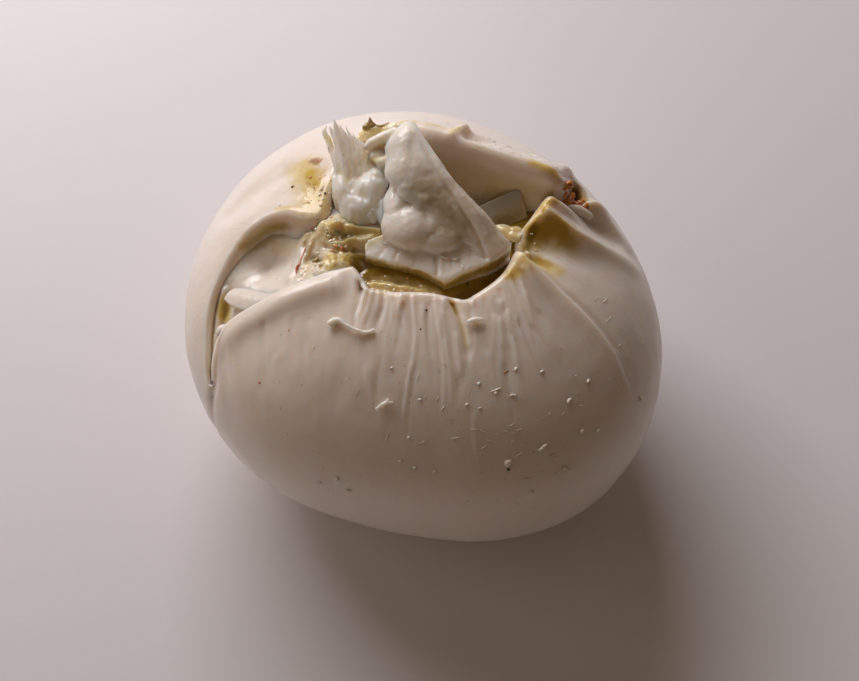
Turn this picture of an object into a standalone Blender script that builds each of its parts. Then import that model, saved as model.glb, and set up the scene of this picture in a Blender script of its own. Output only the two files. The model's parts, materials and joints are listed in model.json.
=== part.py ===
"""A burrata: a plump pouch of pulled curd, gathered at the top into folds and a knot.

The pouch is turned from a superellipse section over an oval plan. Its mouth is a closed line
of points, each with the bearing at which its meridian meets the widest ring. Curved sheets
and blobs of the same curd make the knot and the torn wisp. All of it is fused into one solid,
cut flat where it rests. Sizes are in millimetres until a mesh is made. +Y is the back.
"""

import math

import bmesh
import bpy
import numpy as np
from mathutils import Vector

MM = 0.001

# The pouch: an oval plan under a rounded section
PLAN_CENTRE = (-0.4, 0.6)
HALF_WIDTH = 41.9
HALF_DEPTH = 48.4
OVAL_TERMS = ((2, 0.095, -0.053), (3, -0.004, -0.023))  # order, cosine part, sine part
WIDEST_Z = 26.5
RISE = 29.0
SECTION_POWER = 2.2
FLAT_SPOT_DEPTH = 0.8  # how much of the rounded underside the flat spot takes off

# The mouth's edge, anticlockwise from the front left. Each point is the bearing, in degrees, at
# which its meridian leaves the widest ring, then its x, y and z.
FRONT_LIP = (
    (-117, -13.0, -3.4, 54.2),
    (-109, -10.4, -8.2, 54.7),
    (-98, -5.6, -9.2, 55.0),
    (-73, 8.1, -10.4, 54.8),
    (-58, 13.5, -7.0, 54.6),
    (-36, 17.9, -0.8, 54.2),
)
RIGHT_FOLDS = (
    (-26, 19.0, 1.6, 52.0),
    (-16, 18.5, 4.2, 53.6),
    (-4, 20.4, 7.6, 54.4),
    (8, 22.9, 9.4, 55.2),
    (18, 22.4, 12.6, 51.6),
)
BACK_FOLD = (
    (36, 24.2, 18.8, 53.2),
    (50, 19.8, 19.6, 55.4),
    (74, 9.4, 20.8, 58.4),
    (86, 2.8, 22.6, 59.2),
    (96, -2.4, 24.4, 58.6),
    (106, -7.0, 24.2, 57.0),
)
LEFT_OF_KNOT = (
    (116, -11.4, 22.8, 55.4),
    (127, -15.6, 19.6, 54.4),
    (136, -18.0, 14.0, 54.0),
    (143, -19.4, 8.6, 53.9),
)
LEFT_POCKET = (
    (150, -24.6, 9.9, 52.6),
    (157, -28.4, 9.6, 51.6),
    (170, -34.4, 5.6, 48.4),
    (176, -36.5, 2.5, 47.0),
    (187, -39.7, -4.2, 43.4),
    (198, -40.4, -12.6, 39.2),
    (204, -39.9, -17.6, 36.4),
)
FRONT_LEFT_LIP = (
    (209, -38.0, -17.6, 38.6),
    (217, -36.9, -11.9, 44.0),
    (221, -34.6, -10.0, 46.6),
    (229, -27.8, -7.7, 51.2),
    (234, -23.0, -6.6, 53.0),
    (239, -17.4, -4.8, 54.2),
)
MOUTH = FRONT_LIP + RIGHT_FOLDS + BACK_FOLD + LEFT_OF_KNOT + LEFT_POCKET + FRONT_LEFT_LIP
MOUTH_POINTS = 144

EDGE_REACH = 8.0  # how far out the edge's height carries into the skin

# The wall below the mouth's edge: how far in, and how far down, each ring of it lies
WALL = ((0.6, 0.7), (0.9, 2.6), (1.2, 5.2), (2.0, 8.0), (4.0, 11.0))
WALL_LEFT = ((0.2, 0.9), (-1.2, 2.0), (-1.4, 3.6), (-0.6, 5.6), (1.0, 9.0))
WALL_BACK = ((0.9, 0.9), (0.3, 2.4), (-0.4, 4.6), (1.4, 8.0), (6.4, 10.6))
LEFT_BEARINGS = (140, 180)
BACK_BEARINGS = (34, 100)

# The filling that shows as the floor inside the mouth, lower round the neck
NECK = (2.0, 8.0)
FLOOR_DROP = 4.2
NECK_DROP = 4.0
NECK_REACH = 17.0
CORE_INSET = 4.0

# Ridges and grooves of the outer skin: height, half width, then points of its line in plan
SKIN_LINES = {
    "right ridge": (2.0, 2.2, ((22.9, 9.4), (27.0, 7.9), (30.2, 6.6), (33.0, 5.2), (36.6, 3.6), (40.0, 1.0))),
    "right dip": (-2.2, 3.2, ((25.6, 3.4), (30.0, 1.6), (34.0, -0.6))),
    "rear right valley": (-3.6, 3.0, ((25.8, 14.0), (30.0, 11.8), (34.4, 9.0), (37.6, 6.8))),
    "rear right rim": (1.8, 2.4, ((27.4, 20.4), (31.0, 17.6), (34.8, 13.6), (38.6, 9.6))),
    "front right crease": (-1.5, 1.8, ((18.6, -1.0), (21.6, -3.6), (30.2, -12.4), (33.4, -16.4))),
    "front left ridge": (1.2, 2.2, ((-36.0, -12.2), (-31.6, -10.6), (-25.0, -8.6), (-17.0, -6.6))),
    "left crease": (-0.9, 2.6, ((-36.4, 15.4), (-31.4, 19.0), (-27.0, 21.6))),
    "middle pleat": (-1.2, 1.0, ((4.9, -10.4), (5.8, -14.4), (7.0, -19.0))),
    "left pleat": (-0.9, 1.0, ((-11.0, -8.4), (-11.8, -12.0), (-13.0, -16.4))),
    "strand": (0.7, 1.0, ((-2.6, -10.0), (-3.2, -17.0), (-3.8, -24.0))),
}

# The skirt round the foot of the knot
SKIRT_EDGE = (
    (-11.2, 5.0),
    (-10.8, 0.6),
    (-3.5, -2.2),
    (2.1, -4.2),
    (4.1, -6.4),
    (6.2, -5.4),
    (11.8, -1.9),
    (15.8, 0.6),
    (16.0, 4.0),
    (10.0, 12.0),
    (-6.0, 14.0),
    (-11.4, 11.0),
)
SKIRT_TOP = 54.6
SKIRT_BOTTOM = 43.0

# The knot's flap in rows from its top at the back to its corner, left edge to right edge
FLAP_ROWS = (
    ((-5.2, 22.0, 57.0), (-2.4, 22.8, 59.0), (0.0, 22.6, 58.0)),
    ((-6.8, 19.8, 58.4), (-2.6, 19.6, 60.8), (0.8, 19.6, 59.6)),
    ((-6.9, 15.8, 58.6), (-2.2, 15.6, 61.4), (2.4, 15.8, 60.4)),
    ((-7.0, 12.4, 58.2), (-1.2, 12.0, 61.2), (4.6, 12.6, 60.6)),
    ((-4.8, 8.6, 58.0), (1.4, 8.4, 60.6), (7.1, 9.7, 59.8)),
    ((-1.0, 6.2, 57.4), (4.8, 5.8, 59.2), (10.0, 6.6, 58.6)),
    ((4.8, 3.4, 56.0), (9.2, 3.2, 57.0), (12.8, 3.8, 56.8)),
    ((11.6, 0.0, 54.4), (13.6, 0.2, 55.0), (15.4, 0.9, 55.0)),
)
FLAP_THICKNESS = 3.6

# The torn wisp: ribs that fan out and stand up from a soft clump
WISP_ROWS = (
    ((-16.6, 18.0, 53.0), (-13.6, 16.6, 53.6), (-10.4, 16.4, 53.6)),
    ((-17.0, 20.0, 57.0), (-14.2, 18.8, 57.4), (-11.2, 18.8, 57.0)),
    ((-17.6, 22.2, 60.0), (-15.4, 21.4, 60.8), (-12.4, 21.6, 59.6)),
    ((-17.8, 24.4, 62.0), (-16.6, 23.8, 62.6), (-15.0, 23.4, 61.6)),
)
WISP_THICKNESS = 2.0

# Rolled edges: radii at the two ends and the middle, then the points that the roll follows
ROLLS = {
    "back fold": (
        (1.6, 2.3, 1.6),
        ((-1.6, 22.6, 58.4), (3.0, 21.4, 58.0), (9.4, 19.8, 56.6), (14.4, 19.0, 55.2), (19.6, 18.6, 53.4),
         (23.4, 17.6, 51.6)),
    ),
    "right fold": (
        (0.9, 1.2, 0.9),
        ((18.6, 4.6, 52.6), (20.6, 7.6, 53.6), (22.9, 9.2, 54.4), (25.0, 8.8, 53.0)),
    ),
    "arm": ((1.8, 2.5, 2.6), ((-11.0, 21.4, 56.6), (-7.6, 21.8, 57.6), (-3.6, 21.6, 58.4))),
    "wisp roll": (
        (1.9, 2.5, 2.4),
        ((-16.0, 18.4, 54.4), (-16.0, 14.4, 55.2), (-15.6, 10.4, 55.2), (-14.4, 7.6, 54.0)),
    ),
}

# Soft lumps: centre, then half sizes along X, Y and Z, then the turn about Z in degrees
LUMPS = {
    "bulb": ((0.8, 8.0, 54.6), (8.6, 7.4, 5.4), 0),
    "bulb left": ((-4.2, 5.0, 55.4), (3.8, 3.8, 4.0), 0),
    "bulb front": ((0.2, 4.6, 56.0), (4.2, 3.6, 3.6), 0),
    "cheek": ((-8.6, 17.2, 55.0), (3.4, 3.0, 3.0), 0),
    "wisp clump": ((-10.6, 11.2, 54.6), (3.8, 5.6, 3.6), -8),
    "wisp foot": ((-12.2, 7.2, 53.8), (4.2, 3.4, 3.0), 0),
    "pocket wedge": ((-29.6, -5.8, 46.6), (6.6, 2.6, 2.4), 8),
    "hollow floor": ((12.0, 13.0, 46.4), (9.0, 5.6, 3.2), 0),
}

# Fusing the shapes into one skin, and thinning it
FUSE_CELL = 1.0
FUSE_SMOOTHING = 4
KEPT_FACES = 0.125
CENTRING = (0.36, -1.44)  # moves the design so that its box is centred on the origin

CURD_COLOUR = (0.86, 0.80, 0.72, 1.0)
CURD_ROUGHNESS = 0.3


def clear_scene():
    for old in list(bpy.data.objects):
        bpy.data.objects.remove(old, do_unlink=True)


def plan_scale(bearing):
    """How much wider than an ellipse the plan is at a bearing in radians."""
    scale = 1.0
    for order, cosine, sine in OVAL_TERMS:
        scale = scale + cosine * np.cos(order * bearing) + sine * np.sin(order * bearing)
    return scale


def widest_ring(bearing, inset=0.0):
    """X and Y of the widest ring at bearings in radians."""
    scale = plan_scale(bearing)
    x = PLAN_CENTRE[0] + (HALF_WIDTH * scale - inset) * np.cos(bearing)
    y = PLAN_CENTRE[1] + (HALF_DEPTH * scale - inset) * np.sin(bearing)
    return x, y


def distance_to_line(x, y, points):
    """Distance in plan from each x, y to a line through the given points."""
    nearest = np.full(np.shape(x), 1e9)
    for (ax, ay), (bx, by) in zip(points, points[1:]):
        run_x, run_y = bx - ax, by - ay
        along = ((x - ax) * run_x + (y - ay) * run_y) / (run_x**2 + run_y**2)
        along = np.clip(along, 0.0, 1.0)
        gap = np.hypot(x - ax - along * run_x, y - ay - along * run_y)
        nearest = np.minimum(nearest, gap)
    return nearest


def dome_height(x, y):
    """Height of the upper skin over a point in plan, without its folds."""
    across = (x - PLAN_CENTRE[0]) / HALF_WIDTH
    along = (y - PLAN_CENTRE[1]) / HALF_DEPTH
    reach = np.hypot(across, along) / plan_scale(np.arctan2(along, across))
    reach = np.clip(reach, 0.0, 1.0)
    return WIDEST_Z + RISE * (1.0 - reach**SECTION_POWER) ** (1.0 / SECTION_POWER)


def skin_height(x, y):
    """Height of the upper skin with its ridges and grooves."""
    height = dome_height(x, y)
    for rise, half_width, points in SKIN_LINES.values():
        height = height + rise * np.exp(-((distance_to_line(x, y, points) / half_width) ** 2))
    return height


def floor_height(x, y):
    """Height of the filling that shows inside the mouth."""
    from_neck = np.hypot(x - NECK[0], y - NECK[1]) / NECK_REACH
    return dome_height(x, y) - FLOOR_DROP - NECK_DROP * np.exp(-(from_neck**4))


def around(count):
    """Evenly spaced bearings in radians."""
    return np.arange(count) * 2.0 * math.pi / count


def mouth_edge(bearings):
    """The mouth's edge at each bearing, as rows of x, y, z."""
    table = np.array(MOUTH, dtype=float)
    degrees = np.degrees(bearings)
    return np.stack([np.interp(degrees, table[:, 0], table[:, k], period=360) for k in (1, 2, 3)], axis=1)


def between(degrees, limits, blend=10.0):
    """1 inside the limits, 0 outside, with a soft change over the blend."""
    low, high = limits
    rise = np.clip((degrees - low) / blend + 0.5, 0.0, 1.0)
    fall = np.clip((high - degrees) / blend + 0.5, 0.0, 1.0)
    return rise * fall


def wall_ring(edge, degrees, level):
    """A ring of the wall inside the mouth, from its edge."""
    ahead = np.roll(edge, -2, axis=0) - np.roll(edge, 2, axis=0)
    inward = np.stack([-ahead[:, 1], ahead[:, 0]], axis=1)
    inward /= np.linalg.norm(inward, axis=1)[:, None]
    left = between(degrees, LEFT_BEARINGS)[:, None]
    back = between(degrees, BACK_BEARINGS)[:, None]
    plain = 1.0 - left - back
    step = plain * WALL[level] + left * WALL_LEFT[level] + back * WALL_BACK[level]
    ring = edge.copy()
    ring[:, :2] += inward * step[:, :1]
    ring[:, 2] -= step[:, 1]
    return ring


def underside_rings(bearings, inset=0.0):
    """Rings from the bottom pole up to just below the widest ring."""
    rings = []
    x, y = widest_ring(bearings, inset)
    depth = WIDEST_Z + FLAT_SPOT_DEPTH
    for angle in np.radians(range(4, 90, 8)):
        reach = math.sin(angle) ** (2.0 / SECTION_POWER)
        drop = math.cos(angle) ** (2.0 / SECTION_POWER)
        z = np.full(len(bearings), WIDEST_Z - (depth - inset) * drop)
        rings.append(np.stack([PLAN_CENTRE[0] + (x - PLAN_CENTRE[0]) * reach,
                               PLAN_CENTRE[1] + (y - PLAN_CENTRE[1]) * reach, z], axis=1))
    return rings


def pouch_rings(count=MOUTH_POINTS):
    """The pouch's skin from the bottom pole, over its mouth's edge and down the wall inside."""
    bearings = around(count)
    degrees = np.degrees(bearings)
    edge = mouth_edge(bearings)
    outer_x, outer_y = widest_ring(bearings)
    rings = underside_rings(bearings)
    edge_lift = edge[:, 2] - skin_height(edge[:, 0], edge[:, 1])
    for angle in np.radians(np.linspace(0.0, 90.0, 22)):
        share = 1.0 - math.cos(angle)
        x = outer_x + (edge[:, 0] - outer_x) * share
        y = outer_y + (edge[:, 1] - outer_y) * share
        from_edge = np.hypot(x - edge[:, 0], y - edge[:, 1])
        z = skin_height(x, y) + edge_lift * np.exp(-((from_edge / EDGE_REACH) ** 2))
        rings.append(np.stack([x, y, z], axis=1))
    for level in range(len(WALL)):
        rings.append(wall_ring(edge, degrees, level))
    return rings


def core_rings(count=72):
    """The filling, a smaller pouch whose top is the floor inside the mouth."""
    bearings = around(count)
    outer_x, outer_y = widest_ring(bearings, CORE_INSET)
    rings = underside_rings(bearings, CORE_INSET)
    for angle in np.radians(np.linspace(0.0, 88.0, 20)):
        share = 1.0 - math.cos(angle)
        x = outer_x + (PLAN_CENTRE[0] - outer_x) * share
        y = outer_y + (PLAN_CENTRE[1] - outer_y) * share
        rings.append(np.stack([x, y, floor_height(x, y)], axis=1))
    return rings


def skirt_rings(count=60):
    """The skirt: a low block on its edge line that domes up towards the knot."""
    corners = np.array(SKIRT_EDGE)
    closed = np.vstack([corners, corners[:1]])
    run = np.concatenate([[0.0], np.cumsum(np.linalg.norm(np.diff(closed, axis=0), axis=1))])
    places = np.linspace(0.0, run[-1], count, endpoint=False)
    edge = np.stack([np.interp(places, run, closed[:, k]) for k in (0, 1)], axis=1)
    middle = edge.mean(axis=0)
    rings = []
    for share, z in ((0.96, SKIRT_BOTTOM), (0.97, SKIRT_TOP - 3.0), (1.0, SKIRT_TOP - 0.9),
                     (0.96, SKIRT_TOP), (0.8, SKIRT_TOP + 0.3), (0.5, SKIRT_TOP + 0.8)):
        plan = middle + (edge - middle) * share
        rings.append(np.column_stack([plan, np.full(count, z)]))
    return rings


def mesh_of_rings(rings):
    """A closed mesh from rings, each end gathered to a point at its ring's middle."""
    shape = bmesh.new()
    rows = [[shape.verts.new(Vector(point) * MM) for point in ring] for ring in rings]
    count = len(rows[0])
    for lower, upper in zip(rows, rows[1:]):
        for k in range(count):
            after = (k + 1) % count
            shape.faces.new((lower[k], lower[after], upper[after], upper[k]))
    for row, ring, turn in ((rows[0], rings[0], -1), (rows[-1], rings[-1], 1)):
        pole = shape.verts.new(Vector(np.mean(ring, axis=0)) * MM)
        for k in range(count):
            pair = (row[k], row[(k + 1) % count])[::turn]
            shape.faces.new((*pair, pole))
    return shape


def smooth_rows(rows, steps=4):
    """A finer grid of points through the rows, by a Catmull-Rom curve each way."""
    grid = np.array(rows, dtype=float)
    for axis in (0, 1):
        grid = np.moveaxis(grid, axis, 0)
        padded = np.concatenate([2 * grid[:1] - grid[1:2], grid, 2 * grid[-1:] - grid[-2:-1]])
        finer = []
        for k in range(1, len(padded) - 2):
            a, b, c, d = padded[k - 1:k + 3]
            for t in np.arange(steps) / steps:
                finer.append(0.5 * (2 * b + (c - a) * t + (2 * a - 5 * b + 4 * c - d) * t**2
                                    + (3 * b - a - 3 * c + d) * t**3))
        finer.append(grid[-1])
        grid = np.moveaxis(np.array(finer), 0, axis)
    return grid


def mesh_of_sheet(rows, thickness):
    """A closed sheet of even thickness whose middle runs through the rows."""
    grid = smooth_rows(rows)
    along = np.gradient(grid, axis=0)
    across = np.gradient(grid, axis=1)
    normal = np.cross(along, across)
    normal /= np.linalg.norm(normal, axis=2)[:, :, None]
    shape = bmesh.new()
    sides = []
    for half in (0.5, -0.5):
        points = grid + normal * thickness * half
        sides.append([[shape.verts.new(Vector(p) * MM) for p in row] for row in points])
    top, bottom = sides
    count, width = len(top), len(top[0])
    for i in range(count - 1):
        for j in range(width - 1):
            shape.faces.new((top[i][j], top[i + 1][j], top[i + 1][j + 1], top[i][j + 1]))
            shape.faces.new((bottom[i][j], bottom[i][j + 1], bottom[i + 1][j + 1], bottom[i + 1][j]))
    rim = [(i, 0) for i in range(count)] + [(count - 1, j) for j in range(1, width)]
    rim += [(i, width - 1) for i in range(count - 2, -1, -1)] + [(0, j) for j in range(width - 2, 0, -1)]
    for (i, j), (m, n) in zip(rim, rim[1:] + rim[:1]):
        shape.faces.new((top[i][j], bottom[i][j], bottom[m][n], top[m][n]))
    bmesh.ops.recalc_face_normals(shape, faces=shape.faces)
    return shape


def mesh_of_roll(radii, points, sides=12, steps=5):
    """A closed round roll along the points, thick in the middle and rounded at its ends."""
    spine = smooth_rows([[point, point] for point in points], steps)[:, 0]
    ahead = np.gradient(spine, axis=0)
    ahead /= np.linalg.norm(ahead, axis=1)[:, None]
    aside = np.cross(ahead, (0.0, 0.0, 1.0))
    aside /= np.linalg.norm(aside, axis=1)[:, None]
    above = np.cross(aside, ahead)
    radius = np.interp(np.linspace(0.0, 1.0, len(spine)), (0.0, 0.5, 1.0), radii)
    turns = around(sides)
    rings = []
    for middle, size, x_way, z_way in zip(spine, radius, aside, above):
        rings.append(middle + size * (np.outer(np.cos(turns), x_way) + np.outer(np.sin(turns), z_way)))
    caps = []
    for end, way in ((0, -1.0), (-1, 1.0)):
        caps.append(spine[end] + 0.6 * (rings[end] - spine[end]) + way * 0.7 * radius[end] * ahead[end])
    return mesh_of_rings([caps[0], *rings, caps[1]])


def mesh_of_lump(centre, half_sizes, turn):
    """A soft lump: a sphere of the given half sizes, turned about Z."""
    shape = bmesh.new()
    bmesh.ops.create_uvsphere(shape, u_segments=24, v_segments=14, radius=MM)
    bmesh.ops.scale(shape, vec=Vector(half_sizes), verts=shape.verts)
    cosine, sine = math.cos(math.radians(turn)), math.sin(math.radians(turn))
    for corner in shape.verts:
        x, y, z = corner.co
        corner.co = Vector((x * cosine - y * sine, x * sine + y * cosine, z)) + Vector(centre) * MM
    return shape


def join_shapes(name, shapes):
    """One object that holds all the shapes, each still a closed body of its own."""
    whole = bmesh.new()
    for shape in shapes:
        part = bpy.data.meshes.new("part")
        shape.to_mesh(part)
        shape.free()
        whole.from_mesh(part)
        bpy.data.meshes.remove(part)
    mesh = bpy.data.meshes.new(name)
    whole.to_mesh(mesh)
    whole.free()
    made = bpy.data.objects.new(name, mesh)
    bpy.context.scene.collection.objects.link(made)
    return made


def curd_material():
    material = bpy.data.materials.new("curd")
    material.use_nodes = True
    shader = material.node_tree.nodes["Principled BSDF"]
    shader.inputs["Base Color"].default_value = CURD_COLOUR
    shader.inputs["Roughness"].default_value = CURD_ROUGHNESS
    shader.inputs["Metallic"].default_value = 0.0
    return material


def resting_plane_cutter():
    """A block whose top is the plane that the burrata rests on."""
    bpy.ops.mesh.primitive_cube_add(size=1.0, location=(0.0, 0.0, -10.0 * MM))
    cutter = bpy.context.object
    cutter.name = "resting_plane"
    cutter.scale = (120.0 * MM, 120.0 * MM, 20.0 * MM)
    cutter.hide_render = True
    cutter.display_type = "WIRE"
    return cutter


def fuse(burrata, cutter):
    """Fuse the shapes into one skin, soften it, thin it and cut its flat spot."""
    burrata.location = (CENTRING[0] * MM, CENTRING[1] * MM, 0.0)
    remesh = burrata.modifiers.new("fuse", "REMESH")
    remesh.mode = "VOXEL"
    remesh.voxel_size = FUSE_CELL * MM
    soften = burrata.modifiers.new("soften", "SMOOTH")
    soften.factor = 0.5
    soften.iterations = FUSE_SMOOTHING
    thin = burrata.modifiers.new("thin", "DECIMATE")
    thin.ratio = KEPT_FACES
    flat = burrata.modifiers.new("flat spot", "BOOLEAN")
    flat.operation = "DIFFERENCE"
    flat.object = cutter


def main():
    clear_scene()
    shapes = [mesh_of_rings(pouch_rings()), mesh_of_rings(core_rings()), mesh_of_rings(skirt_rings())]
    shapes.append(mesh_of_sheet(FLAP_ROWS, FLAP_THICKNESS))
    shapes.append(mesh_of_sheet(WISP_ROWS, WISP_THICKNESS))
    shapes += [mesh_of_roll(radii, points) for radii, points in ROLLS.values()]
    shapes += [mesh_of_lump(*lump) for lump in LUMPS.values()]
    burrata = join_shapes("burrata", shapes)
    burrata.data.materials.append(curd_material())
    fuse(burrata, resting_plane_cutter())


main()
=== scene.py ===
"""The looks of a burrata: a plump pouch of pulled curd, gathered at the top round a knot.

Every piece is shaped in millimetres in the burrata's own design frame, +Y at the back, and is
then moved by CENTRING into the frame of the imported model. The pouch, its filling, the knot and the
torn wisp stand for the one solid node. Oil, cream, spice and crumbs lie on them.
"""

import json
import logging
import math
from collections.abc import Callable
from dataclasses import dataclass, field
from enum import Enum

import bpy
import numpy as np
from mathutils import Matrix, Vector, noise
from mathutils.bvhtree import BVHTree

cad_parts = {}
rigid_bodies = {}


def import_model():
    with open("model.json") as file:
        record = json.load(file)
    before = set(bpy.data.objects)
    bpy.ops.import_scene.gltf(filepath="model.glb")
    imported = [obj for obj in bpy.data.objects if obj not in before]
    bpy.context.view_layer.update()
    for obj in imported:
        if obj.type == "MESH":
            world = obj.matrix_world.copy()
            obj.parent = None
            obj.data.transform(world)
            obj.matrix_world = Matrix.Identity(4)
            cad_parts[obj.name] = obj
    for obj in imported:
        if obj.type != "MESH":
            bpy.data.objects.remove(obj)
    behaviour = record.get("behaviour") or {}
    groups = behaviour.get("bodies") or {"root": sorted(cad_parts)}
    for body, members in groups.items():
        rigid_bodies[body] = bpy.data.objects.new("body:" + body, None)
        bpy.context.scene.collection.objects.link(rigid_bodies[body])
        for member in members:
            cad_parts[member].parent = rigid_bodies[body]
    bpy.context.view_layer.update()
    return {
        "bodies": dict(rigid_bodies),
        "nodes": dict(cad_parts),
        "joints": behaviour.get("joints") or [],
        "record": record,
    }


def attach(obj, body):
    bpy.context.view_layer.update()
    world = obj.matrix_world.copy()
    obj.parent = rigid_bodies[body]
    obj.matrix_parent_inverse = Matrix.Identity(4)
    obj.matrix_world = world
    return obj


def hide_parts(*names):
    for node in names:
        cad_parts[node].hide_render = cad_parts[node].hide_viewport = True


LOG = logging.getLogger("burrata")

MM = 0.001
CENTRING = (0.36, -1.44, 0.0)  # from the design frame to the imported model's frame, in millimetres
NODE = "burrata"
BODY = "root"
FRAME_WIDTH = 859  # how wide the rendered frame is
SKY = 90.0  # the height from which small things are let fall, in millimetres

Array = np.ndarray
Piece = bpy.types.Object
Material = bpy.types.Material
Socket = bpy.types.NodeSocket
Place = tuple[float, float, float]
Spot = tuple[float, float]
Points = tuple[tuple[float, ...], ...]
Colour = tuple[float, float, float]


# ---------------------------------------------------------------------------------------------
# The bench: working steps that every piece shares
# ---------------------------------------------------------------------------------------------


def deselect() -> None:
    """Leave nothing selected and nothing active."""
    for piece in bpy.context.selected_objects:
        piece.select_set(False)
    bpy.context.view_layer.objects.active = None


def pick(*pieces: Piece) -> Piece:
    """Select only these pieces and make the first one active.

    Args:
        pieces: the objects to select.

    Returns:
        The first of them.
    """
    deselect()
    for piece in pieces:
        piece.select_set(True)
    bpy.context.view_layer.objects.active = pieces[0]
    return pieces[0]


def points_of(piece: Piece) -> Array:
    """The piece's vertices as rows of x, y, z in millimetres."""
    flat = np.empty(len(piece.data.vertices) * 3)
    piece.data.vertices.foreach_get("co", flat)
    return flat.reshape(-1, 3) / MM


def normals_of(piece: Piece) -> Array:
    """The piece's vertex normals as rows of x, y, z."""
    flat = np.empty(len(piece.data.vertices) * 3)
    piece.data.vertices.foreach_get("normal", flat)
    return flat.reshape(-1, 3)


def move_points(piece: Piece, points: Array) -> None:
    """Put the piece's vertices at rows of x, y, z in millimetres."""
    piece.data.vertices.foreach_set("co", (np.asarray(points) * MM).ravel())
    piece.data.update()


def swell(piece: Piece, amount: Array) -> None:
    """Move each vertex along its normal by its own amount in millimetres."""
    move_points(piece, points_of(piece) + normals_of(piece) * amount[:, None])


def apply_modifier(piece: Piece, kind: str, **settings: object) -> None:
    """Add one modifier to the piece and apply it at once.

    Args:
        piece: the object to change.
        kind: Blender's name for the modifier's type.
        settings: values for the modifier's properties.
    """
    pick(piece)
    bpy.ops.object.modifier_add(type=kind)
    modifier = piece.modifiers[-1]
    for name, value in settings.items():
        setattr(modifier, name, value)
    bpy.ops.object.modifier_apply(modifier=modifier.name)


def settle_transform(piece: Piece) -> Piece:
    """Put the piece's place, turn and size into its mesh."""
    pick(piece)
    bpy.ops.object.transform_apply(location=True, rotation=True, scale=True)
    return piece


def join(name: str, pieces: list[Piece]) -> Piece:
    """Join the pieces into one object of the given name.

    Args:
        name: the whole's name.
        pieces: the objects to join.

    Returns:
        The whole.
    """
    pick(*pieces)
    if len(pieces) > 1:
        bpy.ops.object.join()
    whole = bpy.context.view_layer.objects.active
    whole.name = name
    whole.data.name = name
    return whole


def fuse(name: str, pieces: list[Piece], cell: float, softening: int) -> Piece:
    """Fuse closed pieces into one skin of small even faces and soften it.

    Args:
        name: the fused object's name.
        pieces: closed meshes that overlap.
        cell: size of the faces in millimetres.
        softening: how many times the skin is smoothed.

    Returns:
        The fused object.
    """
    whole = join(name, pieces)
    apply_modifier(whole, "REMESH", mode="VOXEL", voxel_size=cell * MM, use_smooth_shade=True)
    apply_modifier(whole, "SMOOTH", factor=0.5, iterations=softening)
    return whole


def turn_outward(piece: Piece) -> None:
    """Make all the piece's faces look outward."""
    pick(piece)
    bpy.ops.object.mode_set(mode="EDIT")
    bpy.ops.mesh.select_all(action="SELECT")
    bpy.ops.mesh.normals_make_consistent(inside=False)
    bpy.ops.object.mode_set(mode="OBJECT")


def paint(piece: Piece, layer: str, values: Array) -> None:
    """Store one number for each vertex as a named attribute.

    Args:
        piece: the object to paint.
        layer: the attribute's name.
        values: one number from 0 to 1 for each vertex.
    """
    made = piece.data.attributes.new(layer, "FLOAT", "POINT")
    made.data.foreach_set("value", np.clip(values, 0.0, 1.0).astype(np.float32))


def paint_flow(piece: Piece, flow: Array) -> None:
    """Store for each vertex a place in the curd's own grain, whose Z runs along the fibres."""
    made = piece.data.attributes.new("flow", "FLOAT_VECTOR", "POINT")
    made.data.foreach_set("vector", flow.astype(np.float32).ravel())


def finish_piece(piece: Piece, material: Material) -> Piece:
    """Dress a piece, move it into the model's frame, and tie it to the model's body.

    Args:
        piece: the shaped object, in the design frame.
        material: its finish.

    Returns:
        The finished object.
    """
    move_points(piece, points_of(piece) + np.array(CENTRING))
    piece.data.materials.clear()
    piece.data.materials.append(material)
    pick(piece)
    bpy.ops.object.shade_smooth()
    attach(piece, BODY)
    LOG.info("%s: %d faces", piece.name, len(piece.data.polygons))
    return piece


# ---------------------------------------------------------------------------------------------
# Numbers: noise, curves and distances
# ---------------------------------------------------------------------------------------------


def grain(points: Array, size: float, octaves: int = 3, seed: float = 0.0) -> Array:
    """Soft noise from about -1 to 1.

    Args:
        points: rows of x, y, z in millimetres.
        size: millimetres from one bump to the next.
        octaves: how many finer layers it has.
        seed: moves the noise to another place.

    Returns:
        One number for each row.
    """
    scaled = points / size + seed * 17.3
    return np.array([noise.fractal(p, 1.0, 2.1, octaves) for p in scaled])


def ease(values: Array) -> Array:
    """0 below 0, 1 above 1, and a smooth step between."""
    held = np.clip(values, 0.0, 1.0)
    return held * held * (3.0 - 2.0 * held)


def smooth_line(points: Array, steps: int) -> Array:
    """A finer line through the points, by a Catmull-Rom curve.

    Args:
        points: rows of the line's coordinates.
        steps: how many pieces each stretch is cut into.

    Returns:
        Rows of the same width.
    """
    knots = np.asarray(points, dtype=float)
    padded = np.concatenate([2 * knots[:1] - knots[1:2], knots, 2 * knots[-1:] - knots[-2:-1]])
    finer = []
    for k in range(1, len(padded) - 2):
        a, b, c, d = padded[k - 1:k + 3]
        for t in np.arange(steps) / steps:
            finer.append(0.5 * (2 * b + (c - a) * t + (2 * a - 5 * b + 4 * c - d) * t**2
                                + (3 * b - a - 3 * c + d) * t**3))
    finer.append(knots[-1])
    return np.array(finer)


def rounded_line(points: Points, steps: int) -> Array:
    """A line through the points, smooth where there are more than two."""
    return smooth_line(np.array(points), steps) if len(points) > 2 else np.array(points)


def smooth_grid(rows: Array, along: int, across: int) -> Array:
    """A finer grid of points through the rows, along them and across them."""
    longer = np.moveaxis(smooth_line(np.moveaxis(np.asarray(rows, dtype=float), 1, 0), across), 0, 1)
    return smooth_line(longer, along)


@dataclass(frozen=True)
class Nearness:
    """How points lie to a line: their distance, their side, and where along it they are."""

    distance: Array
    side: Array  # the distance with a sign, positive on the line's left
    share: Array


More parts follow.
